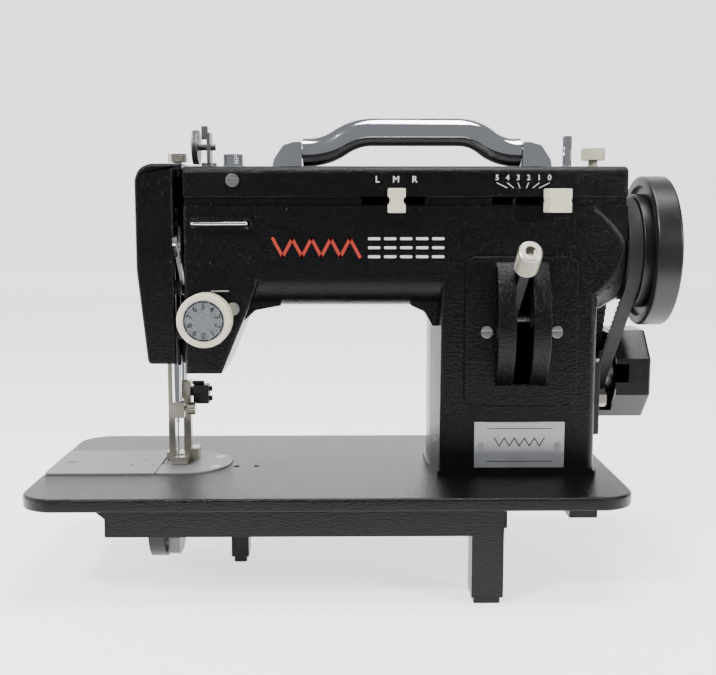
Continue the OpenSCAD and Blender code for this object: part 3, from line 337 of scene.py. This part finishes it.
def smooth(piece, angle=32):
    """Smooths the bends and leaves the large flat faces flat."""
    only(piece)
    bpy.ops.object.shade_smooth_by_angle(angle=math.radians(angle))
    weighted = piece.modifiers.new("flats", "WEIGHTED_NORMAL")
    weighted.keep_sharp = True
    bpy.ops.object.modifier_apply(modifier=weighted.name)


def settle(piece, body, finish):
    """Applies a new piece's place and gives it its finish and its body."""
    only(piece)
    bpy.ops.object.transform_apply(location=True, rotation=True, scale=True)
    paint(piece, finish)
    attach(piece, body)
    return piece


def stand_in(piece, *nodes):
    """Settles a piece that stands for CAD nodes, on their body and in their slot."""
    slot = SLOT_OF[nodes[0]]
    settle(piece, BODY_OF[nodes[0]], slot)
    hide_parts(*nodes)
    return piece


def merged_copy(node):
    """A copy of a CAD node with its triangles joined into whole faces."""
    mesh = frame["nodes"][node].data.copy()
    piece = bpy.data.objects.new(node + "_finished", mesh)
    bpy.context.scene.collection.objects.link(piece)
    only(piece)
    bpy.ops.mesh.customdata_custom_splitnormals_clear()
    edit(piece)
    bpy.ops.mesh.select_all(action="SELECT")
    bpy.ops.mesh.remove_doubles(threshold=0.002 * MM)
    bpy.ops.mesh.dissolve_limited(angle_limit=math.radians(0.4))
    leave_edit()
    return piece


def round_edges(piece, width, wanted, segments=3, least_angle=25):
    edit(piece)
    if pick_edges(piece, wanted, least_angle):
        bpy.ops.mesh.bevel(offset=width, segments=segments, profile=0.5, clamp_overlap=False)
    leave_edit()


def softened(node, passes, angle=32):
    """Stands a rounded copy in for a CAD node: passes holds (width, test, segments) one after another."""
    piece = merged_copy(node)
    for width, wanted, segments in passes:
        round_edges(piece, width, wanted, segments)
    smooth(piece, angle)
    return stand_in(piece, node)


def everywhere(first, second):
    return True


def joined(pieces, name):
    """Joins several objects into one."""
    bpy.ops.object.select_all(action="DESELECT")
    for piece in pieces:
        piece.select_set(True)
    bpy.context.view_layer.objects.active = pieces[0]
    if len(pieces) > 1:
        bpy.ops.object.join()
    pieces[0].name = name
    return pieces[0]


def lettering(text, height, place, turn=0.0, depth=0.08 * MM):
    """One printed mark that faces the front, its middle at place and turned in its own plane."""
    bpy.ops.object.select_all(action="DESELECT")
    bpy.ops.object.text_add()
    mark = bpy.context.object
    mark.data.body = text
    mark.data.size = height
    mark.data.extrude = depth / 2
    mark.data.align_x = "CENTER"
    mark.data.align_y = "CENTER"
    mark.data.offset = height * 0.012
    bpy.ops.object.convert(target="MESH")
    mark = bpy.context.object
    mark.matrix_world = (Matrix.Translation(place) @ Matrix.Rotation(FACING_FRONT, 4, "X")
                         @ Matrix.Rotation(turn, 4, "Z"))
    bpy.ops.object.transform_apply(location=True, rotation=True, scale=True)
    return mark


def bar(start, end, width, depth):
    """A printed stroke with round ends on a plane that faces the front."""
    start, end = Vector(start), Vector(end)
    along = end - start
    bpy.ops.object.select_all(action="DESELECT")
    bpy.ops.mesh.primitive_cube_add(size=1)
    stroke = bpy.context.object
    stroke.scale = (along.length + width, depth, width)
    bpy.ops.object.transform_apply(location=False, rotation=False, scale=True)
    edit(stroke)
    pick_edges(stroke, lambda a, b: near(a.x, b.x) and near(a.z, b.z))
    bpy.ops.mesh.bevel(offset=width * 0.42, segments=3, profile=0.5)
    leave_edit()
    stroke.matrix_world = (Matrix.Translation((start + end) / 2)
                           @ Matrix.Rotation(-math.atan2(along.z, along.x), 4, "Y"))
    only(stroke)
    bpy.ops.object.transform_apply(location=True, rotation=True, scale=True)
    return stroke


def zigzag(start, steps, pitch, swing, width, depth):
    """Printed strokes that go up and down in turn, from the left end of their middle line."""
    left, plane, level = start
    strokes = []
    for step in range(steps):
        x = left + step * pitch
        rise = swing if step % 2 else -swing
        strokes.append(bar((x, plane, level - rise), (x + pitch, plane, level + rise), width, depth))
    return strokes


def knurled(name, radius, length, middle, rotation, rows, sides=36, edge=0.5 * MM):
    """A cylinder with a pointed knurl round it and broken edges at both ends."""
    bpy.ops.object.select_all(action="DESELECT")
    tooth = 0.07 * radius
    bpy.ops.mesh.primitive_cylinder_add(vertices=sides, radius=radius - tooth, depth=length)
    piece = bpy.context.object
    piece.name = name
    edit(piece)
    pick_edges(piece, lambda a, b: near(a.z, b.z, edge / 10), 60)
    bpy.ops.mesh.bevel(offset=edge, segments=2, profile=0.5)
    mesh = bmesh.from_edit_mesh(piece.data)
    bpy.ops.mesh.select_mode(type="EDGE")
    bpy.ops.mesh.select_all(action="DESELECT")
    for side in mesh.edges:
        if abs(side.verts[0].co.z - side.verts[1].co.z) > length - 2.5 * edge:
            side.select_set(True)
    bmesh.update_edit_mesh(piece.data)
    bpy.ops.mesh.subdivide(number_cuts=rows - 1)
    half = length / 2 - edge
    pick_faces(piece, lambda normal, centre: abs(normal.z) < 0.1 and abs(centre.z) < half)
    bpy.ops.mesh.poke(offset=tooth)
    leave_edit()
    piece.matrix_world = Matrix.Translation(middle) @ rotation.to_4x4()
    only(piece)
    bpy.ops.object.transform_apply(location=True, rotation=True, scale=True)
    return piece


def middle_of(node):
    low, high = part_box(node)
    return (Vector(low) + Vector(high)) / 2


def size_of(node):
    low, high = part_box(node)
    return Vector(high) - Vector(low)


def pivot_of(name):
    """Where a joint's axis stands."""
    return Vector(next(joint["pos_m"] for joint in frame["joints"] if joint["name"] == name))


# ---------------------------------------------------------------- body
class MACHINE_OT_bed(bpy.types.Operator):
    """Make the flat bed with its rolled rim, apron and legs"""
    bl_idname = "machine.bed"
    bl_label = "Bed"

    def execute(self, context):
        settings = context.scene.casting_settings
        low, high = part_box("bed")
        top = high[2]
        corner = 22.6 * MM
        plate_thickness = 8 * MM
        underside = top - plate_thickness

        def on_rim(point):
            return (point.x < low[0] + corner or point.x > high[0] - corner
                    or point.y < low[1] + corner or point.y > high[1] - corner)

        def rim(level):
            return lambda a, b: near(a.z, level) and near(b.z, level) and on_rim(a) and on_rim(b)

        def leg_edge(a, b):
            return a.z < underside - 20 * MM and b.z < underside - 20 * MM and abs(a.z - b.z) > 2 * MM

        softened("bed", [(settings.rim, rim(top), 4), (settings.rim * 0.6, rim(underside), 2),
                         (1.2 * MM, leg_edge, 3)])
        return {"FINISHED"}


class MACHINE_OT_casting(bpy.types.Operator):
    """Make the arm, head and pillar with rounded foundry edges"""
    bl_idname = "machine.casting"
    bl_label = "Arm casting"

    def execute(self, context):
        settings = context.scene.casting_settings
        panel_low, panel_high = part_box("length_panel")
        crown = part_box("top_cover")[0][2]
        crown_top = crown - 4.8 * MM

        def behind_panel(point):
            return panel_low[0] < point.x < panel_high[0] and panel_low[2] < point.z < panel_high[2]

        def front_outline(a, b):
            on_front = near(a.y, FRONT_PLANE) and near(b.y, FRONT_PLANE)
            below_crown = min(a.z, b.z) < crown - 1 * MM
            return on_front and below_crown and not behind_panel(a) and not behind_panel(b)

        def long_upright(a, b):
            return (near(a.x, b.x) and near(a.y, b.y) and abs(a.z - b.z) > 40 * MM
                    and a.y < FRONT_PLANE + 5 * MM and not near(a.y, FRONT_PLANE))

        def crown_edge(a, b):
            return (near(a.z, crown_top, 0.3 * MM) and near(b.z, crown_top, 0.3 * MM)
                    and near(a.y, FRONT_PLANE) and near(b.y, FRONT_PLANE))

        softened("arm_casting", [(settings.edge, front_outline, 4), (0.8 * MM, crown_edge, 3),
                                 (1.2 * MM, long_upright, 2)])
        return {"FINISHED"}


class MACHINE_OT_covers(bpy.types.Operator):
    """Make the top cover and the face plate"""
    bl_idname = "machine.covers"
    bl_label = "Covers"

    def execute(self, context):
        settings = context.scene.casting_settings
        low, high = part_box("top_cover")
        softened("top_cover", [
            (settings.cover_edge, lambda a, b: (near(a.x, low[0]) and near(b.x, low[0]))
             or (near(a.x, high[0]) and near(b.x, high[0])), 4),
            (0.8 * MM, lambda a, b: near(a.y, low[1]) and near(b.y, low[1])
             and max(a.z, b.z) < high[2] - 8 * MM, 3)])
        face_low, face_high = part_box("face_plate")
        outer_edge, outer_strip = 2.4 * MM, 12 * MM
        softened("face_plate", [
            (outer_edge, lambda a, b: abs(a.y - b.y) > 20 * MM and near(a.x, b.x) and near(a.z, b.z)
             and a.x < face_low[0] + outer_strip, 3),
            (settings.cover_edge, lambda a, b: (near(a.y, face_low[1]) and near(b.y, face_low[1]))
             or (near(a.y, face_high[1]) and near(b.y, face_high[1])), 4)])
        return {"FINISHED"}


class MACHINE_OT_plates(bpy.types.Operator):
    """Make the needle plate and the slide plate with broken edges and small pins"""
    bl_idname = "machine.plates"
    bl_label = "Plates"

    def execute(self, context):
        fine = context.scene.casting_settings.fine_edge
        for node in ("needle_plate", "slide_plate"):
            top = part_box(node)[1][2]
            softened(node, [(fine, lambda a, b: near(a.z, top) and near(b.z, top), 2)])
        low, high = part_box("slide_plate")
        pin_places = [(19 * MM, -0.3), (5 * MM, -0.3), (12 * MM, 0.1)]
        made = []
        for from_end, share in pin_places:
            bpy.ops.object.select_all(action="DESELECT")
            x = high[0] - from_end
            y = (low[1] + high[1]) / 2 + share * (high[1] - low[1]) / 2
            bpy.ops.mesh.primitive_cylinder_add(vertices=24, radius=1.1 * MM, depth=0.3 * MM,
                                                location=(x, y, high[2]))
            pin = bpy.context.object
            edit(pin)
            pick_faces(pin, lambda normal, centre: normal.z > 0.9)
            bpy.ops.mesh.inset(thickness=0.35 * MM, depth=-0.12 * MM)
            leave_edit()
            made.append(pin)
        pins = joined(made, "slide_plate_pins")
        smooth(pins)
        settle(pins, BODY_OF["slide_plate"], "tool_steel")
        return {"FINISHED"}


# ---------------------------------------------------------------- controls
class MACHINE_OT_length_control(bpy.types.Operator):
    """Make the stitch-length panel, its curved guide and the knurled knob"""
    bl_idname = "machine.length_control"
    bl_label = "Stitch length control"

    def execute(self, context):
        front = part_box("length_panel")[0][1]
        softened("length_panel", [(0.8 * MM, lambda a, b: near(a.y, front) and near(b.y, front), 3)])
        guide_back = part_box("lever_guide")[1][1]
        softened("lever_guide", [(0.9 * MM, lambda a, b: a.y < guide_back - 0.5 * MM
                                  and b.y < guide_back - 0.5 * MM, 3)])
        self.make_knob()
        return {"FINISHED"}

    def make_knob(self):
        pivot = pivot_of("stitch_length_swing")
        middle = middle_of("length_knob")
        outward = (middle - Vector((middle.x, pivot[1], pivot[2]))).normalized()
        across = Vector((1, 0, 0))
        rotation = Matrix((across, outward.cross(across), outward)).transposed()
        radius, length, rim, hollow = 7.8 * MM, 20 * MM, 2.9 * MM, 4 * MM
        knob = knurled("length_knob_knurled", radius, length, middle, rotation, 12, 40, 0.9 * MM)
        edit(knob)
        pick_faces(knob, lambda normal, centre: normal.dot(outward) > 0.98
                   and (centre - middle).dot(outward) > length * 0.49)
        bpy.ops.mesh.inset(thickness=rim)
        bpy.ops.mesh.extrude_region_move(TRANSFORM_OT_translate={"value": -outward * hollow})
        leave_edit()
        smooth(knob, 20)
        stand_in(knob, "length_knob")


class MACHINE_OT_lever_knobs(bpy.types.Operator):
    """Make the two moulded knobs of the swinging levers"""
    bl_idname = "machine.lever_knobs"
    bl_label = "Lever knobs"

    def execute(self, context):
        for node in ("position_knob", "width_knob"):
            softened(node, [(0.7 * MM, everywhere, 3)])
        return {"FINISHED"}


class MACHINE_OT_scales(bpy.types.Operator):
    """Print the letters and digits over the two levers"""
    bl_idname = "machine.scales"
    bl_label = "Lever scales"

    def execute(self, context):
        marks = context.scene.mark_settings
        plane = COVER_FRONT - marks.print_depth / 2
        centre = pivot_of("needle_position_swing").x
        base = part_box("top_cover")[0][2] + 15.8 * MM
        letters = [lettering(letter, marks.letter, (centre + side * 11.5 * MM, plane, base))
                   for side, letter in zip((-1, 0, 1), "LMR")]
        settle(joined(letters, "position_letters"), "machine", "white_print")
        centre = pivot_of("stitch_width_swing").x - 2 * MM
        spacing, foot_spacing = 6.5 * MM, 0.62
        strokes = []
        for place, digit in enumerate("543210"):
            x = centre + (place - 2.5) * spacing
            strokes.append(lettering(digit, marks.digit, (x, plane, base + 1.2 * MM)))
            foot = centre + (place - 2.5) * spacing * foot_spacing
            strokes.append(bar((x, plane, base - 2 * MM), (foot, plane, base - 5 * MM), 0.4 * MM,
                               marks.print_depth))
        settle(joined(strokes, "width_scale"), "machine", "white_print")
        return {"FINISHED"}


class MACHINE_OT_tension_dial(bpy.types.Operator):
    """Make the ribbed tension dial and the marks of its face"""
    bl_idname = "machine.tension_dial"
    bl_label = "Tension dial"

    def execute(self, context):
        marks = context.scene.mark_settings
        middle = middle_of("tension_dial")
        size = size_of("tension_dial")
        radius = size.x / 2
        face_radius = size_of("dial_face").x / 2
        rounding, rib_turn = 1.3 * MM, 3.75
        bpy.ops.object.select_all(action="DESELECT")
        bpy.ops.mesh.primitive_cylinder_add(vertices=96, radius=radius, depth=size.y)
        dial = bpy.context.object
        dial.name = "tension_dial_ribbed"
        edit(dial)
        top = size.y / 2
        pick_edges(dial, lambda a, b: near(a.z, top) and near(b.z, top), 60)
        bpy.ops.mesh.bevel(offset=rounding, segments=4, profile=0.5)
        pick_faces(dial, lambda normal, centre: normal.z > 0.99)
        bpy.ops.mesh.inset(thickness=radius - rounding - face_radius - 0.1 * MM)
        bpy.ops.mesh.extrude_region_move(TRANSFORM_OT_translate={"value": (0, 0, -0.9 * MM)})

        def every_other_side(normal, centre):
            on_side = abs(normal.z) < 0.05 and math.hypot(centre.x, centre.y) > radius * 0.97
            turn = math.degrees(math.atan2(centre.y, centre.x))
            return on_side and round(turn / rib_turn - 0.5) % 2

        pick_faces(dial, every_other_side)
        bpy.ops.mesh.inset(thickness=0.16 * MM, depth=-0.3 * MM, use_individual=True)
        leave_edit()
        dial.matrix_world = Matrix.Translation(middle) @ Matrix.Rotation(FACING_FRONT, 4, "X")
        smooth(dial, 28)
        stand_in(dial, "tension_dial")
        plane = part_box("dial_face")[0][1] - marks.print_depth / 2
        prints = []
        ring = face_radius * 0.7
        for digit in range(10):
            angle = math.radians(-90 + 36 * digit)
            place = (middle.x + ring * math.cos(angle), plane, middle.z + ring * math.sin(angle))
            prints.append(lettering(str(digit), marks.dial_digit, place, angle - math.radians(90)))
        steps = 60
        ring = face_radius * 0.94
        for step in range(steps):
            if step % 6 == 0:
                continue
            ends = [(middle.x + ring * math.cos(turn), plane, middle.z + ring * math.sin(turn))
                    for turn in (2 * math.pi * (step + half) / steps for half in (-0.5, 0.5))]
            prints.append(bar(*ends, 0.75 * MM, marks.print_depth))
        settle(joined(prints, "dial_marks"), BODY_OF["dial_face"], "black_print")
        return {"FINISHED"}


class MACHINE_OT_badge(bpy.types.Operator):
    """Make the blank badge with a stitched border"""
    bl_idname = "machine.badge"
    bl_label = "Badge"

    def execute(self, context):
        marks = context.scene.mark_settings
        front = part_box("name_badge")[0][1]
        softened("name_badge", [(0.25 * MM, lambda a, b: near(a.y, front) and near(b.y, front), 2)])
        low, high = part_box("name_badge")
        middle = middle_of("name_badge")
        plane = front - marks.print_depth / 2
        steps, pitch, swing, margin = 10, 3.2 * MM, 2.6 * MM, 8 * MM
        strokes = zigzag((middle.x - steps / 2 * pitch, plane, middle.z + 2 * MM), steps, pitch, swing,
                         0.7 * MM, marks.print_depth)
        for side in (-1, 1):
            level = middle.z + side * (high[2] - low[2]) * 0.36
            strokes.append(bar((low[0] + margin, plane, level), (high[0] - margin, plane, level),
                               0.5 * MM, marks.print_depth))
        settle(joined(strokes, "badge_marks"), "machine", "black_print")
        return {"FINISHED"}


class MACHINE_OT_arm_ornament(bpy.types.Operator):
    """Print a row of zigzag and straight stitches along the arm"""
    bl_idname = "machine.arm_ornament"
    bl_label = "Arm ornament"

    def execute(self, context):
        marks = context.scene.mark_settings
        plane = FRONT_PLANE - marks.print_depth / 2
        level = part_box("top_cover")[0][2] - 26.2 * MM
        left, pitch, swing = -54.5 * MM, 6 * MM, 5.6 * MM
        crossed = zigzag((left, plane, level), 9, pitch, swing, 2 * MM, marks.print_depth)
        settle(joined(crossed, "zigzag_ornament"), "machine", "red_print")
        straight = []
        stitch, stitch_pitch, straight_left = 6 * MM, 10 * MM, left + 60 * MM
        for row in (-1, 0, 1):
            height = level + row * swing
            for step in range(5):
                start_x = straight_left + step * stitch_pitch
                straight.append(bar((start_x, plane, height), (start_x + stitch, plane, height),
                                    1.7 * MM, marks.print_depth))
        settle(joined(straight, "straight_ornament"), "machine", "white_print")
        return {"FINISHED"}


# ---------------------------------------------------------------- handle, wheel and drive
class MACHINE_OT_handle(bpy.types.Operator):
    """Make the bevelled handle brackets"""
    bl_idname = "machine.handle"
    bl_label = "Handle"

    def execute(self, context):
        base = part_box("handle_brackets")[0][2]
        softened("handle_brackets", [(1.3 * MM, lambda a, b: max(a.z, b.z) > base + 1 * MM
                                      and not near(a.y, b.y, 0.001 * MM), 3)])
        return {"FINISHED"}


class MACHINE_OT_handwheel(bpy.types.Operator):
    """Make the handwheel and its clutch knob with rolled edges"""
    bl_idname = "machine.handwheel"
    bl_label = "Handwheel"

    def execute(self, context):
        softened("handwheel", [(0.7 * MM, everywhere, 3)], 38)
        softened("clutch_knob", [(1 * MM, everywhere, 3)])
        return {"FINISHED"}


class MACHINE_OT_belt(bpy.types.Operator):
    """Make the moulded teeth along the belt's two straight runs"""
    bl_idname = "machine.belt"
    bl_label = "Belt teeth"

    def execute(self, context):
        wheel = Vector((0, *pivot_of("main_shaft_turn").yz))
        motor = Vector((0, *pivot_of("motor_turn").yz))
        big, small, tooth_pitch = 32.3 * MM, 11.1 * MM, 5 * MM
        between = motor - wheel
        slope = math.atan2(between.z, between.y)
        spread = math.acos((big - small) / between.length)
        low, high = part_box("drive_belt")
        teeth = []
        for side in (-1, 1):
            angle = slope + side * spread
            outward = Vector((0, math.cos(angle), math.sin(angle)))
            start, end = wheel + big * outward, motor + small * outward
            count = int((end - start).length / tooth_pitch)
            for step in range(1, count):
                bpy.ops.object.select_all(action="DESELECT")
                bpy.ops.mesh.primitive_cube_add(size=1)
                tooth = bpy.context.object
                tooth.scale = (high[0] - low[0], 2.6 * MM, 1.5 * MM)
                bpy.ops.object.transform_apply(scale=True)
                edit(tooth)
                pick_edges(tooth, lambda a, b: a.z < 0 and b.z < 0 and not near(a.x, b.x))
                bpy.ops.mesh.bevel(offset=0.5 * MM, segments=2, profile=0.5)
                leave_edit()
                place = start.lerp(end, step / count) - outward * 0.6 * MM
                place.x = (low[0] + high[0]) / 2
                tooth.matrix_world = Matrix.Translation(place) @ Matrix.Rotation(
                    angle - math.radians(90), 4, "X")
                teeth.append(tooth)
        settle(joined(teeth, "belt_teeth"), BODY_OF["drive_belt"], "belt_rubber")
        return {"FINISHED"}


class MACHINE_OT_guard(bpy.types.Operator):
    """Make the eight-sided pulley guard with its dished end"""
    bl_idname = "machine.guard"
    bl_label = "Pulley guard"

    def execute(self, context):
        low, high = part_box("pulley_guard")
        far = high[0]
        piece = merged_copy("pulley_guard")
        round_edges(piece, 2.2 * MM, lambda a, b: near(a.x, far) and near(b.x, far), 4)
        edit(piece)
        pick_faces(piece, lambda normal, centre: normal.x > 0.99 and near(centre.x, far))
        bpy.ops.mesh.inset(thickness=5 * MM)
        bpy.ops.mesh.inset(thickness=1 * MM, depth=-1 * MM)
        leave_edit()
        smooth(piece)
        stand_in(piece, "pulley_guard")
        self.make_ribs(far, middle_of("motor_pulley"))
        return {"FINISHED"}

    def make_ribs(self, far, centre):
        ribs = []
        count, ring = 8, 14 * MM
        for turn in range(count):
            angle = math.radians(360 / count * turn)
            bpy.ops.object.select_all(action="DESELECT")
            bpy.ops.mesh.primitive_cube_add(size=1)
            rib = bpy.context.object
            rib.scale = (1.2 * MM, 11 * MM, 2.4 * MM)
            bpy.ops.object.transform_apply(scale=True)
            round_edges(rib, 0.45 * MM, everywhere, 2)
            outward = Vector((0, math.cos(angle), math.sin(angle)))
            place = Vector((far - 0.9 * MM, centre.y, centre.z)) + outward * ring
            rib.matrix_world = Matrix.Translation(place) @ Matrix.Rotation(angle, 4, "X")
            only(rib)
            bpy.ops.object.transform_apply(location=True, rotation=True, scale=True)
            ribs.append(rib)
        piece = joined(ribs, "guard_ribs")
        smooth(piece)
        settle(piece, BODY_OF["pulley_guard"], "black_plastic")


class MACHINE_OT_motor(bpy.types.Operator):
    """Make the motor with rounded ends and its bracket"""
    bl_idname = "machine.motor"
    bl_label = "Motor"

    def execute(self, context):
        softened("motor_body", [(2 * MM, everywhere, 4)])
        softened("motor_bracket", [(0.6 * MM, lambda a, b: near(a.x, b.x) and (a - b).length > 6 * MM, 2)])
        return {"FINISHED"}


class MACHINE_OT_thumb_screws(bpy.types.Operator):
    """Make the knurled heads of the cover nut, the pressure screw and the needle clamp"""
    bl_idname = "machine.thumb_screws"
    bl_label = "Thumb screws"

    def execute(self, context):
        upright = Matrix.Identity(3)
        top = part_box("cover_nut")[1][2]
        middle = middle_of("cover_nut")
        nut = knurled("cover_nut_knurl", 6.7 * MM, 6.6 * MM, (middle.x, middle.y, top - 3.6 * MM),
                      upright, 4, 40)
        smooth(nut, 20)
        settle(nut, BODY_OF["cover_nut"], "chrome")
        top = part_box("pressure_screw")[1][2]
        middle = middle_of("pressure_screw")
        screw = knurled("pressure_screw_knurl", 6.4 * MM, 5 * MM, (middle.x, middle.y, top - 2.7 * MM),
                        upright, 4, 40)
        smooth(screw, 20)
        settle(screw, BODY_OF["pressure_screw"], "nickel")
        clamp_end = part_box("needle_clamp")[1][0]
        screw_above_bed = 37.6 * MM
        head = knurled("clamp_screw_knurl", 4.3 * MM, 4.6 * MM,
                       (clamp_end - 2.4 * MM, -3 * MM, BED_TOP + screw_above_bed),
                       Matrix.Rotation(math.radians(90), 3, "Y"), 3, 28, 0.35 * MM)
        smooth(head, 20)
        settle(head, BODY_OF["needle_clamp"], "nickel")
        return {"FINISHED"}


class MACHINE_OT_screws(bpy.types.Operator):
    """Make the domed heads of the small and the slotted screws"""
    bl_idname = "machine.screws"
    bl_label = "Screw heads"

    def execute(self, context):
        for node in ("slotted_screws", "small_screws"):
            softened(node, [(0.3 * MM, lambda a, b: min(a.y, b.y) < FRONT_PLANE and near(a.y, b.y), 2)])
        return {"FINISHED"}


class MACHINE_OT_feet(bpy.types.Operator):
    """Break the edges of the two feet, the cutter and the levers round the needle"""
    bl_idname = "machine.feet"
    bl_label = "Feet"

    def execute(self, context):
        fine = context.scene.casting_settings.fine_edge
        for node in ("presser_foot", "walking_foot", "thread_cutter", "needle_clamp", "lifter_lever",
                     "take_up_lever", "length_lever", "winder_stop"):
            softened(node, [(fine, lambda a, b: (a - b).length > 3 * fine, 2)])
        return {"FINISHED"}


class MACHINE_OT_finishes(bpy.types.Operator):
    """Give every remaining part its own finish"""
    bl_idname = "machine.finishes"
    bl_label = "Finishes"

    def execute(self, context):
        for node, part in frame["nodes"].items():
            paint(part, SLOT_OF[node])
        return {"FINISHED"}


# ---------------------------------------------------------------- stage
# name, place in metres, side in metres and power in watts
LIGHTS = (
    ("key", (-0.7, -0.8, 1.1), 0.22, 17),
    ("fill", (0.95, -0.7, 0.6), 0.22, 8),
    ("top", (0.15, -0.1, 1.3), 0.6, 16),
    ("strip", (-1.1, 0.1, 0.5), 0.3, 6),
)
LIGHT_TARGET = Vector((0, 0, 0.14))


class MACHINE_OT_stage(bpy.types.Operator):
    """Make the floor, the lights and the camera"""
    bl_idname = "machine.stage"
    bl_label = "Stage"

    def execute(self, context):
        settings = context.scene.stage_settings
        self.make_floor(settings)
        for name, place, size, power in LIGHTS:
            self.make_light(name, place, size, power)
        world = bpy.data.worlds.new("studio")
        world.use_nodes = True
        world.node_tree.nodes["Background"].inputs["Color"].default_value = (0.9, 0.93, 1.0, 1)
        world.node_tree.nodes["Background"].inputs["Strength"].default_value = 0.28
        context.scene.world = world
        camera = bpy.data.objects.new("camera", bpy.data.cameras.new("camera"))
        context.scene.collection.objects.link(camera)
        camera.location = settings.camera_place
        camera.rotation_euler = (settings.tilt, 0, settings.turn)
        camera.data.lens = settings.lens
        camera.data.sensor_width = 36
        context.scene.camera = camera
        return {"FINISHED"}

    def make_floor(self, settings):
        """A floor that sweeps up behind the machine."""
        bpy.ops.object.select_all(action="DESELECT")
        bpy.ops.mesh.primitive_plane_add(size=2, location=(0, 0, 0))
        floor = bpy.context.object
        floor.name = "floor"
        floor.scale = (4, 2.4, 1)
        floor.location.y = 2.06
        bpy.ops.object.transform_apply(location=True, rotation=True, scale=True)
        edit(floor)
        bpy.ops.mesh.select_mode(type="EDGE")
        self.pick_rear_edge(floor)
        bpy.ops.mesh.extrude_region_move(TRANSFORM_OT_translate={"value": (0, 0, 5)})
        self.pick_rear_edge(floor)
        bpy.ops.mesh.bevel(offset=1.5, segments=12, profile=0.5)
        leave_edit()
        smooth(floor, 60)
        matte = Finish("floor", settings.floor, 0.9)
        cloud = matte.cloud(0.4, 2.0)
        matte.tint(shade(settings.floor, 0.98), settings.floor, cloud)
        matte.shader.inputs["Emission Color"].default_value = (1, 1, 1, 1)
        matte.shader.inputs["Emission Strength"].default_value = 1.5
        floor.data.materials.append(matte.material)

    def pick_rear_edge(self, floor):
        """Selects the edge where the level floor ends behind the machine."""
        mesh = bmesh.from_edit_mesh(floor.data)
        bpy.ops.mesh.select_all(action="DESELECT")
        for edge in mesh.edges:
            if all(vertex.co.y > 3 and vertex.co.z < 0.1 for vertex in edge.verts):
                edge.select_set(True)
        bmesh.update_edit_mesh(floor.data)

    def make_light(self, name, place, size, power):
        light = bpy.data.objects.new(name, bpy.data.lights.new(name, "AREA"))
        light.data.size = size
        light.data.energy = power
        light.location = place
        aim = LIGHT_TARGET - Vector(place)
        light.rotation_euler = aim.to_track_quat("-Z", "Y").to_euler()
        bpy.context.scene.collection.objects.link(light)


PIECE_OPERATORS = (
    MACHINE_OT_bed, MACHINE_OT_casting, MACHINE_OT_covers, MACHINE_OT_plates, MACHINE_OT_length_control,
    MACHINE_OT_lever_knobs, MACHINE_OT_scales, MACHINE_OT_tension_dial, MACHINE_OT_badge,
    MACHINE_OT_arm_ornament, MACHINE_OT_handle, MACHINE_OT_handwheel, MACHINE_OT_belt, MACHINE_OT_guard,
    MACHINE_OT_motor, MACHINE_OT_thumb_screws, MACHINE_OT_screws, MACHINE_OT_feet, MACHINE_OT_finishes,
    MACHINE_OT_stage,
)


class MACHINE_PT_panel(bpy.types.Panel):
    """Lists the pieces that can be made"""
    bl_idname = "MACHINE_PT_panel"
    bl_label = "Sewing machine"
    bl_space_type = "VIEW_3D"
    bl_region_type = "UI"
    bl_category = "Sewing machine"

    def draw(self, context):
        for operator in PIECE_OPERATORS:
            self.layout.operator(operator.bl_idname)


SETTING_GROUPS = {
    "casting_settings": CastingSettings,
    "mark_settings": MarkSettings,
    "stage_settings": StageSettings,
}


def register():
    for group in SETTING_GROUPS.values():
        bpy.utils.register_class(group)
    for name, group in SETTING_GROUPS.items():
        setattr(bpy.types.Scene, name, bpy.props.PointerProperty(type=group))
    for operator in PIECE_OPERATORS:
        bpy.utils.register_class(operator)
    bpy.utils.register_class(MACHINE_PT_panel)


def unregister():
    bpy.utils.unregister_class(MACHINE_PT_panel)
    for operator in reversed(PIECE_OPERATORS):
        bpy.utils.unregister_class(operator)
    for name in SETTING_GROUPS:
        delattr(bpy.types.Scene, name)
    for group in reversed(list(SETTING_GROUPS.values())):
        bpy.utils.unregister_class(group)


def main():
    """Registers the add-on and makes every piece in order."""
    register()
    scene = bpy.context.scene
    make_finishes(scene.casting_settings, scene.mark_settings)
    for operator in PIECE_OPERATORS:
        category, name = operator.bl_idname.split(".")
        getattr(getattr(bpy.ops, category), name)()


if __name__ == "__main__":
    main()
